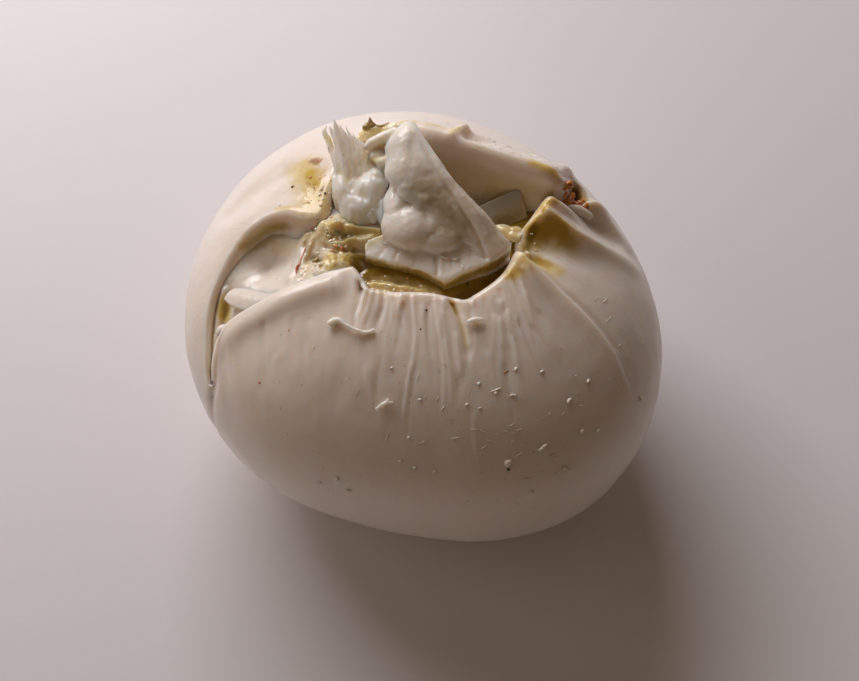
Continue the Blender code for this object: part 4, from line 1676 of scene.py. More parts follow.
KNOT_BASE = Mound(
    outline=(
        (-10.9, 1.4), (-10.5, -0.6), (-8.8, -1.3), (-6.1, -2.1), (-3.0, -2.8), (0.0, -3.9), (2.0, -4.9),
        (3.7, -6.0), (4.9, -5.4), (6.4, -4.5), (9.1, -3.2), (11.6, -2.3), (13.2, -1.4), (14.7, -0.2),
        (15.9, 0.8), (15.4, 2.0), (12.8, 3.6), (10.4, 5.4), (8.0, 7.4), (5.6, 9.8), (3.2, 12.8),
        (0.6, 16.8),
        (-1.6, 20.6), (-3.6, 21.6), (-5.6, 20.6), (-6.2, 17.0), (-6.4, 14.0), (-6.4, 11.6), (-6.9, 9.5),
        (-7.2, 8.0), (-7.2, 6.0), (-7.2, 4.6), (-7.4, 3.4), (-8.8, 3.1), (-10.2, 2.6),
    ),
    places=(
        # the skirt's rim
        (-10.6, 1.2, 54.1), (-10.2, -0.3, 54.0), (-8.6, -0.9, 54.1), (-6.0, -1.7, 54.2),
        (-3.0, -2.4, 54.1),
        (0.0, -3.5, 54.1), (2.0, -4.5, 54.0), (3.7, -5.4, 54.0), (5.0, -4.9, 54.1), (6.4, -4.0, 54.2),
        (9.1, -2.8, 54.4), (11.6, -1.9, 54.6), (13.2, -1.0, 54.8), (15.4, 1.0, 55.1),
        # the skirt's flat top, up to the bulb
        (-7.7, 2.3, 54.7), (-6.1, 1.2, 54.6), (-4.3, 0.6, 54.6), (-2.5, 0.0, 54.6), (0.9, -0.6, 54.6),
        (3.8, -0.9, 54.6), (7.1, -0.4, 54.7), (9.0, 0.2, 54.8), (-6.1, 0.4, 54.4), (-2.5, -0.9, 54.4),
        (3.8, -2.2, 54.4), (8.0, -1.6, 54.5), (-4.6, 2.4, 54.8), (0.0, 1.6, 54.8), (4.2, 0.6, 54.9),
        # what the bulb and the flap hide
        (-5.4, 5.0, 55.6), (-5.8, 8.4, 57.0), (-5.4, 11.4, 58.4), (-3.2, 5.5, 56.4), (0.2, 5.0, 56.8),
        (5.0, 2.2, 55.6), (8.0, 2.6, 55.8), (-3.6, 9.0, 58.2), (0.0, 7.6, 58.2), (3.6, 8.4, 58.5),
        (3.6, 5.6, 57.4), (7.0, 5.4, 57.4), (9.6, 3.6, 56.2), (12.6, 2.4, 55.6), (-4.0, 14.0, 60.2),
        (0.0, 12.0, 60.2), (-2.0, 18.0, 61.0), (-3.6, 20.8, 60.6), (-6.0, 17.0, 59.2), (2.4, 12.2, 59.8),
        (-10.0, 2.0, 54.4),
    ),
    floor=47.0,
    relief=(
        groove(0.25, 0.3, (-4.5, 0.2), (-5.4, -1.6), fade=(1.0, 0.6)),
        groove(0.8, 0.28, (2.3, -0.9), (2.3, -2.6), (2.2, -5.0), fade=(0.6, 1.0)),
        ridge(0.22, 0.3, (2.9, -1.2), (2.9, -3.0), (2.9, -5.2)),
        groove(0.18, 0.3, (4.8, -1.2), (5.0, -3.8), fade=(1.0, 0.6)),
        groove(0.22, 0.3, (8.0, -0.6), (8.9, -3.1), fade=(1.0, 0.6)),
        groove(0.14, 0.3, (-1.4, -0.6), (-1.8, -3.0)),
        groove(0.14, 0.3, (6.4, -1.0), (7.0, -3.8)),
        groove(0.12, 0.3, (-7.0, 0.8), (-8.2, -1.0)),
    ),
)


@dataclass
class Knot:
    """The gathered knot: a draped flap over a bulb that stands on a pleated skirt. Sizes in mm."""

    cell: float = 0.18
    softening: int = 7
    flap: Sheet = KNOT_FLAP
    base: Mound = KNOT_BASE
    lumps: tuple[Lump, ...] = (
        # the bulb and its lobes
        Lump((-1.9, 5.2, 55.3), (6.0, 5.4, 3.7)),
        Lump((2.4, 3.6, 54.9), (5.6, 4.3, 3.0), -5.0),
        Lump((-5.1, 5.6, 55.6), (2.5, 4.0, 2.4)),
        Lump((0.2, 4.6, 55.4), (4.4, 4.2, 3.3)),
        Lump((-4.4, 8.6, 56.5), (3.1, 4.4, 2.5)),
        # what fills the gap under the arm
        Lump((-8.6, 18.2, 57.0), (2.6, 2.2, 2.2)),
        Lump((-8.4, 17.9, 57.6), (2.4, 2.0, 2.0)),
        Lump((-7.4, 15.6, 56.8), (1.8, 2.4, 2.2)),
    )
    rolls: tuple[Roll, ...] = (
        Roll(((-10.8, 19.1, 59.3), (-9.3, 19.8, 60.2), (-6.9, 20.4, 61.1), (-4.9, 20.9, 61.8)),
             (0.6, 0.95, 1.1, 1.2)),
        Roll(((-10.2, 20.6, 57.6), (-8.0, 21.0, 58.6), (-4.4, 21.6, 59.4)), (1.2, 1.5, 1.8)),
        Roll(((-9.3, 16.8, 58.9), (-8.0, 16.2, 59.2), (-6.4, 16.0, 59.8)), (0.25, 0.9, 1.2)),
    )
    relief: tuple[ReliefLine, ...] = (
        # the line that parts the flap's face from its right band
        groove(0.55, 0.4, (-0.7, 17.8, 64.0), (0.6, 15.4, 63.4), (2.1, 12.3, 62.5), (4.2, 9.0, 61.0),
               (5.8, 6.8, 60.1), (7.2, 4.8, 59.0), (8.5, 3.1, 58.0), (9.5, 1.5, 56.9), (10.3, 0.0, 55.6),
               (11.0, -1.6, 54.9), fade=(0.3, 1.0)),
        groove(0.2, 0.28, (9.6, 4.6, 58.9), (11.4, 2.6, 57.6), (13.0, -0.2, 55.6)),
        groove(0.16, 0.28, (10.8, 4.4, 58.6), (12.6, 2.2, 57.2), (14.2, 0.4, 55.8)),
        ridge(0.14, 0.3, (7.0, 7.8, 60.6), (9.8, 5.2, 59.2), (12.2, 2.4, 57.4)),
        # creases between the bulb's lobes and at its foot
        groove(0.26, 0.8, (-3.9, 6.6, 58.8), (-3.8, 4.2, 58.4), (-3.6, 2.4, 57.6), fade=(1.0, 0.3)),
        groove(0.34, 0.9, (0.0, 5.8, 58.9), (0.4, 3.6, 58.4), (0.6, 1.4, 57.4), fade=(1.0, 0.4)),
        # knobs and ripples of the flap's face
        ridge(0.2, 0.6, (-3.4, 9.6, 60.8), (-2.2, 9.7, 61.0)),
        ridge(0.3, 0.5, (-0.4, 7.8, 60.3), (0.6, 7.6, 60.3)),
        ridge(0.22, 0.7, (-0.6, 14.6, 63.2), (0.6, 12.0, 62.4)),
        groove(0.22, 0.8, (-1.6, 18.4, 63.8), (-2.4, 15.6, 63.6), (-2.4, 12.0, 62.4)),
    )

    def build(self, finish: CurdFinish, stains: tuple[Stain, ...]) -> Piece:
        """Make the whole knot and dress it.

        Args:
            finish: the curd's finish.
            stains: oil that clings to it.

        Returns:
            The finished knot.
        """
        parts = [part.make() for part in (self.flap, self.base, *self.lumps, *self.rolls)]
        knot = fuse("knot", parts, self.cell, self.softening)
        points = points_of(knot)
        amount = 0.09 * grain(points, 3.0, 3, 12.0) + 0.05 * grain(points, 0.9, 2, 13.0)
        for line in self.relief:
            amount = amount + line.amount(points)
        swell(knot, amount)
        points = points_of(knot)
        paint_stains(knot, stains, 9.0)
        along = points @ np.array((0.55, -0.78, 0.3))
        across = points @ np.array((0.82, 0.57, 0.0))
        paint_flow(knot, np.stack([across * 0.9, points[:, 2] * 0.9, along * 0.12], axis=1))
        return finish_piece(knot, finish.make())


WISP_CLUMP = Mound(
    outline=(
        (-15.6, 16.0), (-16.8, 14.6), (-17.0, 12.5), (-16.6, 10.9), (-15.5, 9.4), (-15.4, 7.9),
        (-14.6, 6.3),
        (-13.3, 5.5), (-10.3, 4.9), (-8.7, 5.1), (-8.0, 6.6), (-7.5, 9.0), (-7.0, 10.8), (-6.4, 12.2),
        (-6.0, 14.3),
        (-7.0, 17.1), (-10.0, 19.0), (-13.0, 18.6),
    ),
    places=(
        (-15.5, 15.4, 57.2), (-16.4, 14.4, 57.0), (-16.6, 12.5, 56.6), (-16.2, 10.9, 56.0),
        (-15.2, 9.4, 55.5),
        (-15.0, 8.0, 54.9), (-14.2, 6.7, 54.4), (-13.1, 5.9, 54.1), (-10.3, 5.3, 54.0),
        (-8.9, 5.5, 54.2),
        (-8.2, 6.8, 55.2), (-7.8, 9.0, 56.2), (-7.3, 10.8, 57.2), (-6.8, 12.2, 57.8), (-6.4, 14.3, 58.0),
        (-7.4, 16.8, 57.4), (-10.0, 18.4, 57.2), (-13.0, 18.0, 57.2),
        (-15.6, 14.2, 57.4), (-15.4, 12.3, 58.0), (-14.9, 11.0, 57.9), (-13.9, 9.2, 57.3),
        (-13.7, 14.4, 57.5), (-13.5, 12.0, 57.6), (-13.2, 10.3, 57.5),
        (-12.8, 8.4, 57.2), (-13.0, 7.1, 56.3), (-11.9, 11.9, 58.3), (-11.0, 12.3, 58.8),
        (-8.9, 12.5, 58.8),
        (-9.7, 10.4, 58.7), (-8.3, 10.3, 57.9), (-9.4, 8.3, 57.7), (-10.1, 6.9, 56.6),
        (-11.5, 7.8, 57.4),
        (-13.4, 6.6, 55.5), (-11.6, 6.1, 55.5), (-9.8, 6.2, 55.4), (-11.6, 14.2, 58.0),
        (-9.5, 14.6, 58.0),
    ),
    floor=49.0,
    relief=(
        groove(0.5, 0.8, (-13.9, 14.4), (-13.6, 11.8), (-12.4, 10.2), (-10.6, 9.4)),
        groove(0.3, 0.6, (-11.0, 10.4), (-10.6, 8.8), (-9.9, 7.4)),
        groove(0.3, 0.5, (-12.8, 11.8), (-12.2, 13.0), (-11.6, 14.4)),
        groove(0.25, 0.35, (-9.4, 12.0), (-8.8, 10.0), (-9.2, 8.0)),
        ridge(0.25, 0.5, (-14.8, 9.8), (-13.6, 8.2), (-12.4, 7.2)),
        groove(0.25, 0.35, (-15.6, 12.6), (-14.6, 10.2), (-13.6, 8.6)),
    ),
)


@dataclass
class Wisp:
    """The torn wisp: thin glassy blades that fan out of a soft clump. Sizes in mm."""

    cell: float = 0.14
    softening: int = 5
    clump: Mound = WISP_CLUMP
    blades: tuple[Blade, ...] = (
        Blade(((-15.4, 14.2, 56.6), (-15.9, 16.4, 58.0), (-16.8, 18.8, 58.8), (-17.7, 21.0, 59.6),
               (-18.3, 22.2, 60.0), (-17.9, 23.0, 60.9)), (1.8, 1.6, 1.3, 1.3, 0.9, 0.2), 0.9),
        Blade(((-13.6, 13.4, 56.8), (-14.2, 16.0, 58.8), (-14.9, 18.4, 60.4), (-15.7, 20.6, 61.8),
               (-16.4, 23.0, 63.2)), (2.6, 2.3, 1.9, 1.4, 0.15), 1.1),
        Blade(((-12.2, 13.2, 56.8), (-12.8, 15.8, 58.6), (-13.6, 18.3, 60.3), (-14.5, 20.3, 61.4),
               (-15.3, 22.2, 62.5)), (2.0, 1.7, 1.4, 0.9, 0.12), 0.9),
        Blade(((-11.0, 13.2, 56.8), (-11.6, 15.8, 58.3), (-12.4, 18.1, 59.8), (-13.3, 20.1, 60.9),
               (-14.2, 22.0, 61.8)), (2.0, 1.7, 1.3, 0.9, 0.12), 0.8),
        Blade(((-9.8, 13.4, 56.8), (-10.5, 15.6, 58.1), (-11.4, 17.8, 59.2), (-12.2, 19.6, 60.2),
               (-13.0, 21.4, 61.0)), (2.0, 1.7, 1.3, 0.9, 0.12), 0.8),
        Blade(((-8.6, 13.6, 56.6), (-9.4, 15.4, 57.9), (-10.4, 17.3, 58.8), (-11.1, 19.1, 59.5),
               (-11.8, 20.6, 60.1)), (2.0, 1.7, 1.3, 1.0, 0.3), 0.8),
        Blade(((-14.6, 14.4, 57.0), (-15.2, 17.0, 58.6), (-16.0, 19.6, 60.0), (-16.9, 21.6, 61.2),
               (-17.3, 22.4, 61.6)), (1.6, 1.3, 1.0, 0.6, 0.12), 0.7),
    )
    rolls: tuple[Roll, ...] = (
        Roll(((-9.9, 7.0, 56.2), (-9.3, 6.2, 55.7), (-8.9, 5.5, 55.0)), (0.7, 0.6, 0.35)),
        Roll(((-9.4, 7.6, 56.8), (-8.9, 7.0, 56.2), (-8.6, 6.2, 55.6)), (0.5, 0.5, 0.3)),
    )
    lumps: tuple[Lump, ...] = (
        Lump((-12.0, 16.0, 55.9), (3.2, 3.2, 2.6)),
        Lump((-7.5, 8.8, 55.4), (1.4, 3.8, 1.7)),
        Lump((-9.6, 16.8, 56.8), (2.2, 2.4, 1.6)),
        Lump((-8.4, 14.2, 57.0), (2.0, 2.2, 1.8)),
    )

    def build(self, finish: CurdFinish, stains: tuple[Stain, ...]) -> Piece:
        """Make the wisp and dress it.

        Args:
            finish: the curd's finish.
            stains: what clings to it.

        Returns:
            The finished wisp.
        """
        parts = [part.make() for part in (*self.blades, self.clump, *self.rolls, *self.lumps)]
        wisp = fuse("wisp", parts, self.cell, self.softening)
        points = points_of(wisp)
        along = points @ np.array((-0.3, 0.72, 0.6))
        across = np.stack([points[:, 0] * 1.4, points[:, 1] * 0.3, along * 0.12], axis=1)
        fan = ease((points[:, 2] - 57.6) / 1.6)
        amount = (0.07 + 0.09 * fan) * grain(across, 1.0, 2, 14.0) + 0.12 * grain(points, 1.8, 3, 15.0)
        swell(wisp, amount)
        points = points_of(wisp)
        paint_stains(wisp, stains, 12.0)
        paint_flow(wisp, np.stack([points[:, 0] * 2.2, points[:, 2], along * 0.15], axis=1))
        return finish_piece(wisp, finish.make())


# ---------------------------------------------------------------------------------------------
# Small things that lie on the burrata
# ---------------------------------------------------------------------------------------------


class Ground:
    """The finished surfaces that small things are laid on."""

    def __init__(self, pieces: list[Piece]) -> None:
        """Remember the pieces' faces, in the design frame and in millimetres."""
        self.trees = []
        for piece in pieces:
            corners = (points_of(piece) - np.array(CENTRING)).tolist()
            faces = [tuple(face.vertices) for face in piece.data.polygons]
            self.trees.append(BVHTree.FromPolygons(corners, faces))

    def drop(self, x: float, y: float) -> tuple[Vector, Vector]:
        """Where a thing let fall at x and y comes to rest.

        Args:
            x: place in plan, in millimetres.
            y: place in plan, in millimetres.

        Returns:
            The place on the highest surface there, and that surface's normal.
        """
        best, normal = Vector((x, y, 0.0)), Vector((0.0, 0.0, 1.0))
        for tree in self.trees:
            place, facing, _, _ = tree.ray_cast(Vector((x, y, SKY)), Vector((0.0, 0.0, -1.0)))
            if place is not None and place.z > best.z:
                best, normal = place, facing
        return best, normal


@dataclass(frozen=True)
class Bit:
    """One small thing: where it lies in plan, its half sizes and its turn in degrees."""

    x: float
    y: float
    half: Place
    turn: float = 0.0


@dataclass(frozen=True)
class Sprinkle:
    """Small things strewn by chance along a line. Sizes in millimetres."""

    count: int
    line: tuple[Spot, ...]
    spread: float
    smallest: float
    largest: float
    flatness: float = 0.6
    length: float = 1.3
    turns: Spot = (0.0, 360.0)

    def bits(self, chance: np.random.Generator) -> list[Bit]:
        """Choose the places and sizes.

        Args:
            chance: where the random numbers come from.

        Returns:
            The small things.
        """
        line = rounded_line(self.line, 12)
        made = []
        for _ in range(self.count):
            where = chance.uniform(0.0, len(line) - 1.0)
            x, y = (np.interp(where, np.arange(len(line)), line[:, k]) for k in (0, 1))
            size = self.smallest * (self.largest / self.smallest) ** (chance.random() ** 1.6)
            off = chance.normal(0.0, self.spread / 2.0, 2)
            half = (size * self.length, size / self.length, size * self.flatness)
            turn = float(chance.uniform(*self.turns))
            made.append(Bit(float(x + off[0]), float(y + off[1]), half, turn))
        return made


@dataclass
class Scatter:
    """One kind of small thing, made in a few shapes and laid in many places."""

    name: str
    finish: BitFinish
    bits: tuple[Bit, ...] = ()
    sprinkles: tuple[Sprinkle, ...] = ()
    roughness: float = 0.25  # how uneven its shapes are
    sink: float = 0.35  # share of its height that is below the surface
    seed: int = 1
    shapes: int = 4
    segments: int = 12
    rings: int = 8
    lowest: float = 14.0  # what would come to rest below this height is left out

    def models(self) -> list[Piece]:
        """Make the few shapes, each about one millimetre in half size.

        Returns:
            The shapes, to be copied.
        """
        made = []
        for number in range(self.shapes):
            model = Lump((0.0, 0.0, 0.0), (1.0, 1.0, 1.0)).make(self.segments, self.rings)
            rough = 1.6 * grain(points_of(model), 1.6, 2, self.seed + number * 5.0)
            swell(model, self.roughness * rough)
            made.append(model)
        return made

    def build(self, ground: Ground) -> Piece:
        """Lay every bit on the ground, join them and dress them.

        Args:
            ground: the surfaces that they lie on.

        Returns:
            One piece that holds them all.
        """
        chance = np.random.default_rng(self.seed)
        bits = list(self.bits)
        for sprinkle in self.sprinkles:
            bits += sprinkle.bits(chance)
        models = self.models()
        laid = []
        for number, bit in enumerate(bits):
            place, normal = ground.drop(bit.x, bit.y)
            if place.z < self.lowest:
                continue
            copy = models[number % len(models)].copy()
            copy.data = copy.data.copy()
            bpy.context.scene.collection.objects.link(copy)
            stand = normal.to_track_quat("Z", "Y").to_matrix().to_4x4()
            turn = Matrix.Rotation(math.radians(bit.turn), 4, "Z")
            lift = place + normal * bit.half[2] * (1.0 - 2.0 * self.sink)
            size = Matrix.Diagonal((*bit.half, 1.0))
            copy.matrix_world = Matrix.Translation(lift * MM) @ stand @ turn @ size
            laid.append(copy)
        for model in models:
            bpy.data.objects.remove(model)
        whole = join(self.name, laid)
        settle_transform(whole)
        return finish_piece(whole, self.finish.make())


@dataclass
class Shreds:
    """Thin strands and slabs that are modelled one by one and share a finish."""

    name: str
    finish: CurdFinish | BitFinish
    sheets: tuple[Sheet, ...] = ()
    mounds: tuple[Mound, ...] = ()
    rolls: tuple[Roll, ...] = ()
    lumps: tuple[Lump, ...] = ()
    cell: float = 0.16
    softening: int = 3
    unevenness: float = 0.06
    seed: float = 20.0
    stains: tuple[Stain, ...] = ()

    def build(self) -> Piece:
        """Make the strands and slabs, fuse what touches and dress them.

        Returns:
            One piece that holds them all.
        """
        parts = [part.make() for part in (*self.sheets, *self.mounds, *self.rolls, *self.lumps)]
        whole = fuse(self.name, parts, self.cell, self.softening)
        points = points_of(whole)
        swell(whole, self.unevenness * grain(points, 1.4, 3, self.seed))
        points = points_of(whole)
        paint_stains(whole, self.stains, self.seed)
        paint_flow(whole, points * 0.8)
        return finish_piece(whole, self.finish.make())


# ---------------------------------------------------------------------------------------------
# Studio
# ---------------------------------------------------------------------------------------------


@dataclass(frozen=True)
class Softbox:
    """A flat studio light aimed at the burrata. Places and sizes in metres."""

    name: str
    place: Place
    size: Spot
    power: float
    colour: Colour

    def add(self, aim: Place) -> None:
        """Hang the light and aim it.

        Args:
            aim: the place that it lights, in metres.
        """
        deselect()
        bpy.ops.object.light_add(type="AREA", location=self.place)
        light = bpy.context.object
        light.name = self.name
        light.data.shape = "RECTANGLE"
        light.data.size, light.data.size_y = self.size
        light.data.energy = self.power
        light.data.color = self.colour
        way = Vector(aim) - Vector(self.place)
        light.rotation_euler = way.to_track_quat("-Z", "Y").to_euler()


@dataclass
class Studio:
    """A pale table, soft light from the back left, and a camera that looks down from the front."""

    elevation: float = 61.5
    distance: float = 300.0
    aim: Place = (0.0, 0.0, 26.0)
    lens: float = 64.16
    shift: Spot = (5.5 / FRAME_WIDTH, -13.5 / FRAME_WIDTH)
    table_colour: Colour = (0.82, 0.795, 0.825)
    air_colour: Colour = (1.0, 0.70, 0.46)
    air_strength: float = 0.10
    lights: tuple[Softbox, ...] = (
        Softbox("window", (-0.27, 0.57, 0.46), (0.66, 0.36), 5.45, (1.0, 0.96, 0.97)),
        Softbox("left_wall", (-0.62, -0.06, 0.42), (0.5, 0.5), 0.5, (1.0, 0.86, 0.74)),
    )

    def table(self) -> None:
        """Lay the pale table."""
        deselect()
        bpy.ops.mesh.primitive_plane_add(size=6.0)
        table = bpy.context.object
        table.name = "table"
        tree = Tree("table")
        place = tree.place()
        cloud = tree.spread(tree.noise(place, 6.0, 2.0), 0.3, 0.7)
        darker = tuple(0.97 * v for v in self.table_colour)
        tree.put("Base Color", tree.mix(cloud, self.table_colour, darker))
        tree.put("Roughness", 0.45)
        tree.put("Normal", tree.bump(tree.noise(place, 900.0, 3.0), 0.02 * MM))
        table.data.materials.append(tree.material)

    def air(self) -> None:
        """Give the room an even soft light."""
        world = bpy.data.worlds.new("studio")
        world.use_nodes = True
        glow = world.node_tree.nodes["Background"]
        glow.inputs["Color"].default_value = (*self.air_colour, 1.0)
        glow.inputs["Strength"].default_value = self.air_strength
        bpy.context.scene.world = world

    def camera(self) -> None:
        """Set up the camera."""
        aim = (np.array(self.aim) + np.array(CENTRING)) * MM
        tilt = math.radians(self.elevation)
        ahead = Vector((0.0, math.cos(tilt), -math.sin(tilt)))
        deselect()
        bpy.ops.object.camera_add(location=Vector(aim) - ahead * self.distance * MM)
        camera = bpy.context.object
        camera.rotation_euler = ahead.to_track_quat("-Z", "Y").to_euler()
        camera.data.lens = self.lens
        camera.data.shift_x, camera.data.shift_y = self.shift
        camera.data.clip_start = 0.01
        bpy.context.scene.camera = camera

    def build(self) -> None:
        """Set up the whole studio."""
        self.table()
        self.air()
        self.camera()
        aim = tuple((v + c) * MM for v, c in zip(self.aim, CENTRING))
        for light in self.lights:
            light.add(aim)
        bpy.context.scene.view_settings.view_transform = "Standard"


# ---------------------------------------------------------------------------------------------
# Stains of each piece
# ---------------------------------------------------------------------------------------------

POUCH_STAINS = (
    # the right fold's yellow-olive face, its crease and its edge
    butter(0.9, 3.4, (19.8, 3.6), (23.0, 5.0), (26.0, 4.4)),
    amber(0.9, 2.4, (20.4, 4.8), (22.6, 6.0), (25.2, 5.2)),
    olive(0.85, 1.1, (18.6, 2.0), (19.3, 4.0), (20.0, 5.4)),
    butter(0.9, 1.2, (18.4, 3.0), (19.6, 5.6), (20.8, 8.0), (22.0, 9.8)),
    amber(0.7, 1.3, (21.4, 8.2), (22.8, 9.6), (23.9, 10.8)),
    butter(0.8, 1.7, (18.6, -0.6), (24.4, -2.4)),
    amber(0.75, 1.3, (19.2, 0.4), (22.4, -1.0)),
    butter(0.7, 2.6, (15.6, -4.6), (18.6, -2.4)),
    amber(0.65, 1.3, (15.0, -5.2), (16.6, -4.6)),
    # the rear pocket and the fold's end above it
    olive(0.8, 2.4, (27.4, 16.4, 46.0), (28.6, 18.6, 46.6)),
    amber(0.8, 1.8, (29.6, 16.4, 47.0), (31.4, 14.4, 46.4)),
    butter(0.9, 1.5, (20.2, 17.3, 57.6), (23.0, 16.4, 57.0), (24.8, 15.8, 56.2)),
    amber(0.6, 1.4, (24.4, 15.4, 54.6), (23.4, 14.2, 52.0)),
    olive(0.5, 1.0, (24.2, 15.0, 53.0), (22.6, 13.8, 50.4)),
    # the deep hollow under the back fold: butter, amber and olive are painted warm shade that deepens
    # down its wall
    butter(0.6, 4.0, (2.0, 18.8, 52.6), (10.0, 16.6, 52.8), (20.0, 14.0, 51.4)),
    amber(0.45, 2.8, (2.0, 17.6, 50.2), (10.0, 15.2, 50.0), (18.0, 13.2, 49.2)),
    olive(0.6, 1.8, (2.0, 17.0, 48.6), (10.0, 14.6, 48.4), (18.0, 12.8, 47.6)),
    # inside the front lip
    butter(0.8, 1.1, (-9.0, -8.2, 53.4), (-2.0, -9.0, 53.6), (6.0, -9.8, 53.2), (14.0, -5.6, 53.2)),
    amber(0.7, 1.2, (-11.0, -6.4, 52.4), (-2.0, -8.4, 52.2), (6.0, -9.2, 51.6), (14.0, -5.0, 51.6)),
    butter(0.5, 0.7, (4.9, -10.6), (6.6, -14.6), (7.4, -18.4)),
    amber(0.7, 0.5, (5.0, -10.6), (5.6, -12.2)),
    olive(0.9, 1.1, (-12.8, -4.6, 52.8), (-11.6, -7.0, 52.6)),
    # the left pocket's wall and the left side below it: oil, with painted shade under the lip
    butter(0.9, 1.6, (-20.0, 8.0, 52.2), (-25.0, 8.8, 50.2), (-29.0, 8.0, 49.2), (-33.4, 5.4, 47.4)),
    olive(0.5, 1.2, (-21.0, 8.2, 51.2), (-23.0, 8.4, 50.6), (-28.0, 8.0, 49.2), (-32.6, 5.6, 47.6)),
    butter(0.45, 0.8, (-35.0, 3.6, 46.6), (-38.4, -3.6, 42.4), (-39.4, -10.0, 39.2),
           (-39.4, -16.0, 36.0)),
    # the cream that has run over the skin left of the wisp
    butter(0.8, 4.2, (-23.0, 21.4), (-21.4, 17.6), (-20.8, 14.0), (-19.6, 10.4)),
    butter(1.0, 2.0, (-21.6, 19.6), (-20.0, 15.4), (-19.0, 11.4)),
    amber(0.45, 2.0, (-20.8, 18.6), (-19.6, 12.6)),
    olive(0.5, 0.6, (-21.4, 22.4), (-20.0, 20.8)),
    blush(0.9, 0.9, (-21.0, 22.6), (-19.8, 21.6)),
    blush(0.5, 0.5, (-21.8, 16.6), (-21.2, 15.8)),
    butter(0.7, 0.9, (-27.0, 10.8), (-22.0, 10.4), (-18.8, 9.8)),
    # behind the knot
    butter(0.85, 2.0, (-13.0, 23.4), (-8.0, 25.6), (-2.0, 26.4)),
    butter(0.7, 1.4, (1.0, 25.6), (5.4, 24.4)),
    butter(0.7, 0.9, (5.0, 22.6), (6.4, 24.4)),
    amber(0.4, 1.0, (-9.8, 25.4), (-5.0, 25.8)),
    wet(1.0, 3.4, (-21.0, 12.0), (-21.0, 20.0)),
    wet(0.9, 2.4, (-10.0, -8.4), (2.0, -9.6), (8.0, -10.6)),
    wet(0.9, 4.0, (20.0, 3.0), (25.0, 6.0)),
    wet(0.8, 2.0, (14.0, 19.0), (24.0, 16.4)),
)
FILLING_STAINS = (
    butter(0.8, 4.0, (-17.0, 5.4), (-14.2, 2.4), (-16.6, -1.6)),
    butter(0.85, 2.0, (-13.0, 4.4), (-8.4, 3.8)),
    butter(0.6, 2.4, (-12.6, 1.4), (-10.0, 1.6)),
    amber(0.25, 1.5, (-16.4, 4.2), (-13.6, 3.4)),
    amber(0.2, 1.0, (-18.2, 0.2), (-16.6, -1.0)),
    olive(0.12, 1.5, (-15.4, 5.4), (-13.2, 3.6)),
    butter(0.6, 2.4, (-19.6, 4.0), (-22.0, 7.0)),
    butter(0.4, 2.6, (-20.4, 1.4), (-21.0, -2.6)),
    butter(0.35, 2.2, (-27.6, 5.8), (-24.6, 4.6)),
    # the foot of the left pocket's wall: oil, with painted shade under the lip
    butter(0.5, 1.3, (-23.0, 7.6), (-28.4, 7.2), (-32.6, 5.0)),
    olive(0.3, 1.0, (-26.0, 7.4), (-31.6, 5.6)),
    olive(0.8, 0.9, (-20.2, 0.9), (-18.9, -0.2)),
    blush(0.35, 0.5, (-21.4, 3.4), (-22.2, 0.8), (-23.0, -1.8)),
    blush(0.3, 0.9, (-16.2, 1.6), (-14.6, 1.4)),
    # the dark green corner left of the skirt
    olive(0.95, 1.5, (-12.4, -0.4), (-11.4, -2.6), (-9.4, -3.6)),
    olive(0.95, 1.5, (-12.0, 0.2), (-10.4, -0.9), (-8.8, -1.8)),
    amber(0.7, 2.0, (-13.0, -0.2), (-12.2, -3.4)),
    # the floor under the oil right of the knot and in the hollow: darkened by oil, and by painted shade
    olive(0.8, 4.4, (16.0, 0.0), (19.0, 5.0), (20.0, 9.0)),
    olive(0.7, 3.0, (8.0, 14.0), (14.0, 12.0)),
    # the amber slits under the ledge
    butter(1.0, 1.8, (-37.0, -4.4), (-37.0, -6.8)),
    amber(0.35, 1.4, (-37.0, -4.6), (-37.0, -6.6)),
    amber(1.0, 0.7, (-37.4, -8.4), (-38.0, -10.8)),
    butter(0.35, 1.0, (-39.4, -6.0), (-39.4, -16.0)),
    wet(1.0, 6.0, (-19.0, 2.0), (-13.0, 2.0)),
    wet(0.9, 3.0, (12.0, 12.0), (18.0, 4.0)),
)
OIL_STAINS = (
    butter(0.95, 2.9, (-8.6, -5.6), (-4.0, -6.4), (1.0, -7.6)),
    olive(0.95, 1.6, (-12.4, -2.8), (-11.4, -5.4)),
    # the darkest oil, right of the knot and in the hollow: olive oil, with painted shade
    olive(0.95, 2.8, (7.2, -7.4), (12.0, -4.4), (16.6, -0.6), (18.4, 3.0)),
    olive(0.95, 3.0, (8.0, 15.0), (12.0, 13.0)),
)
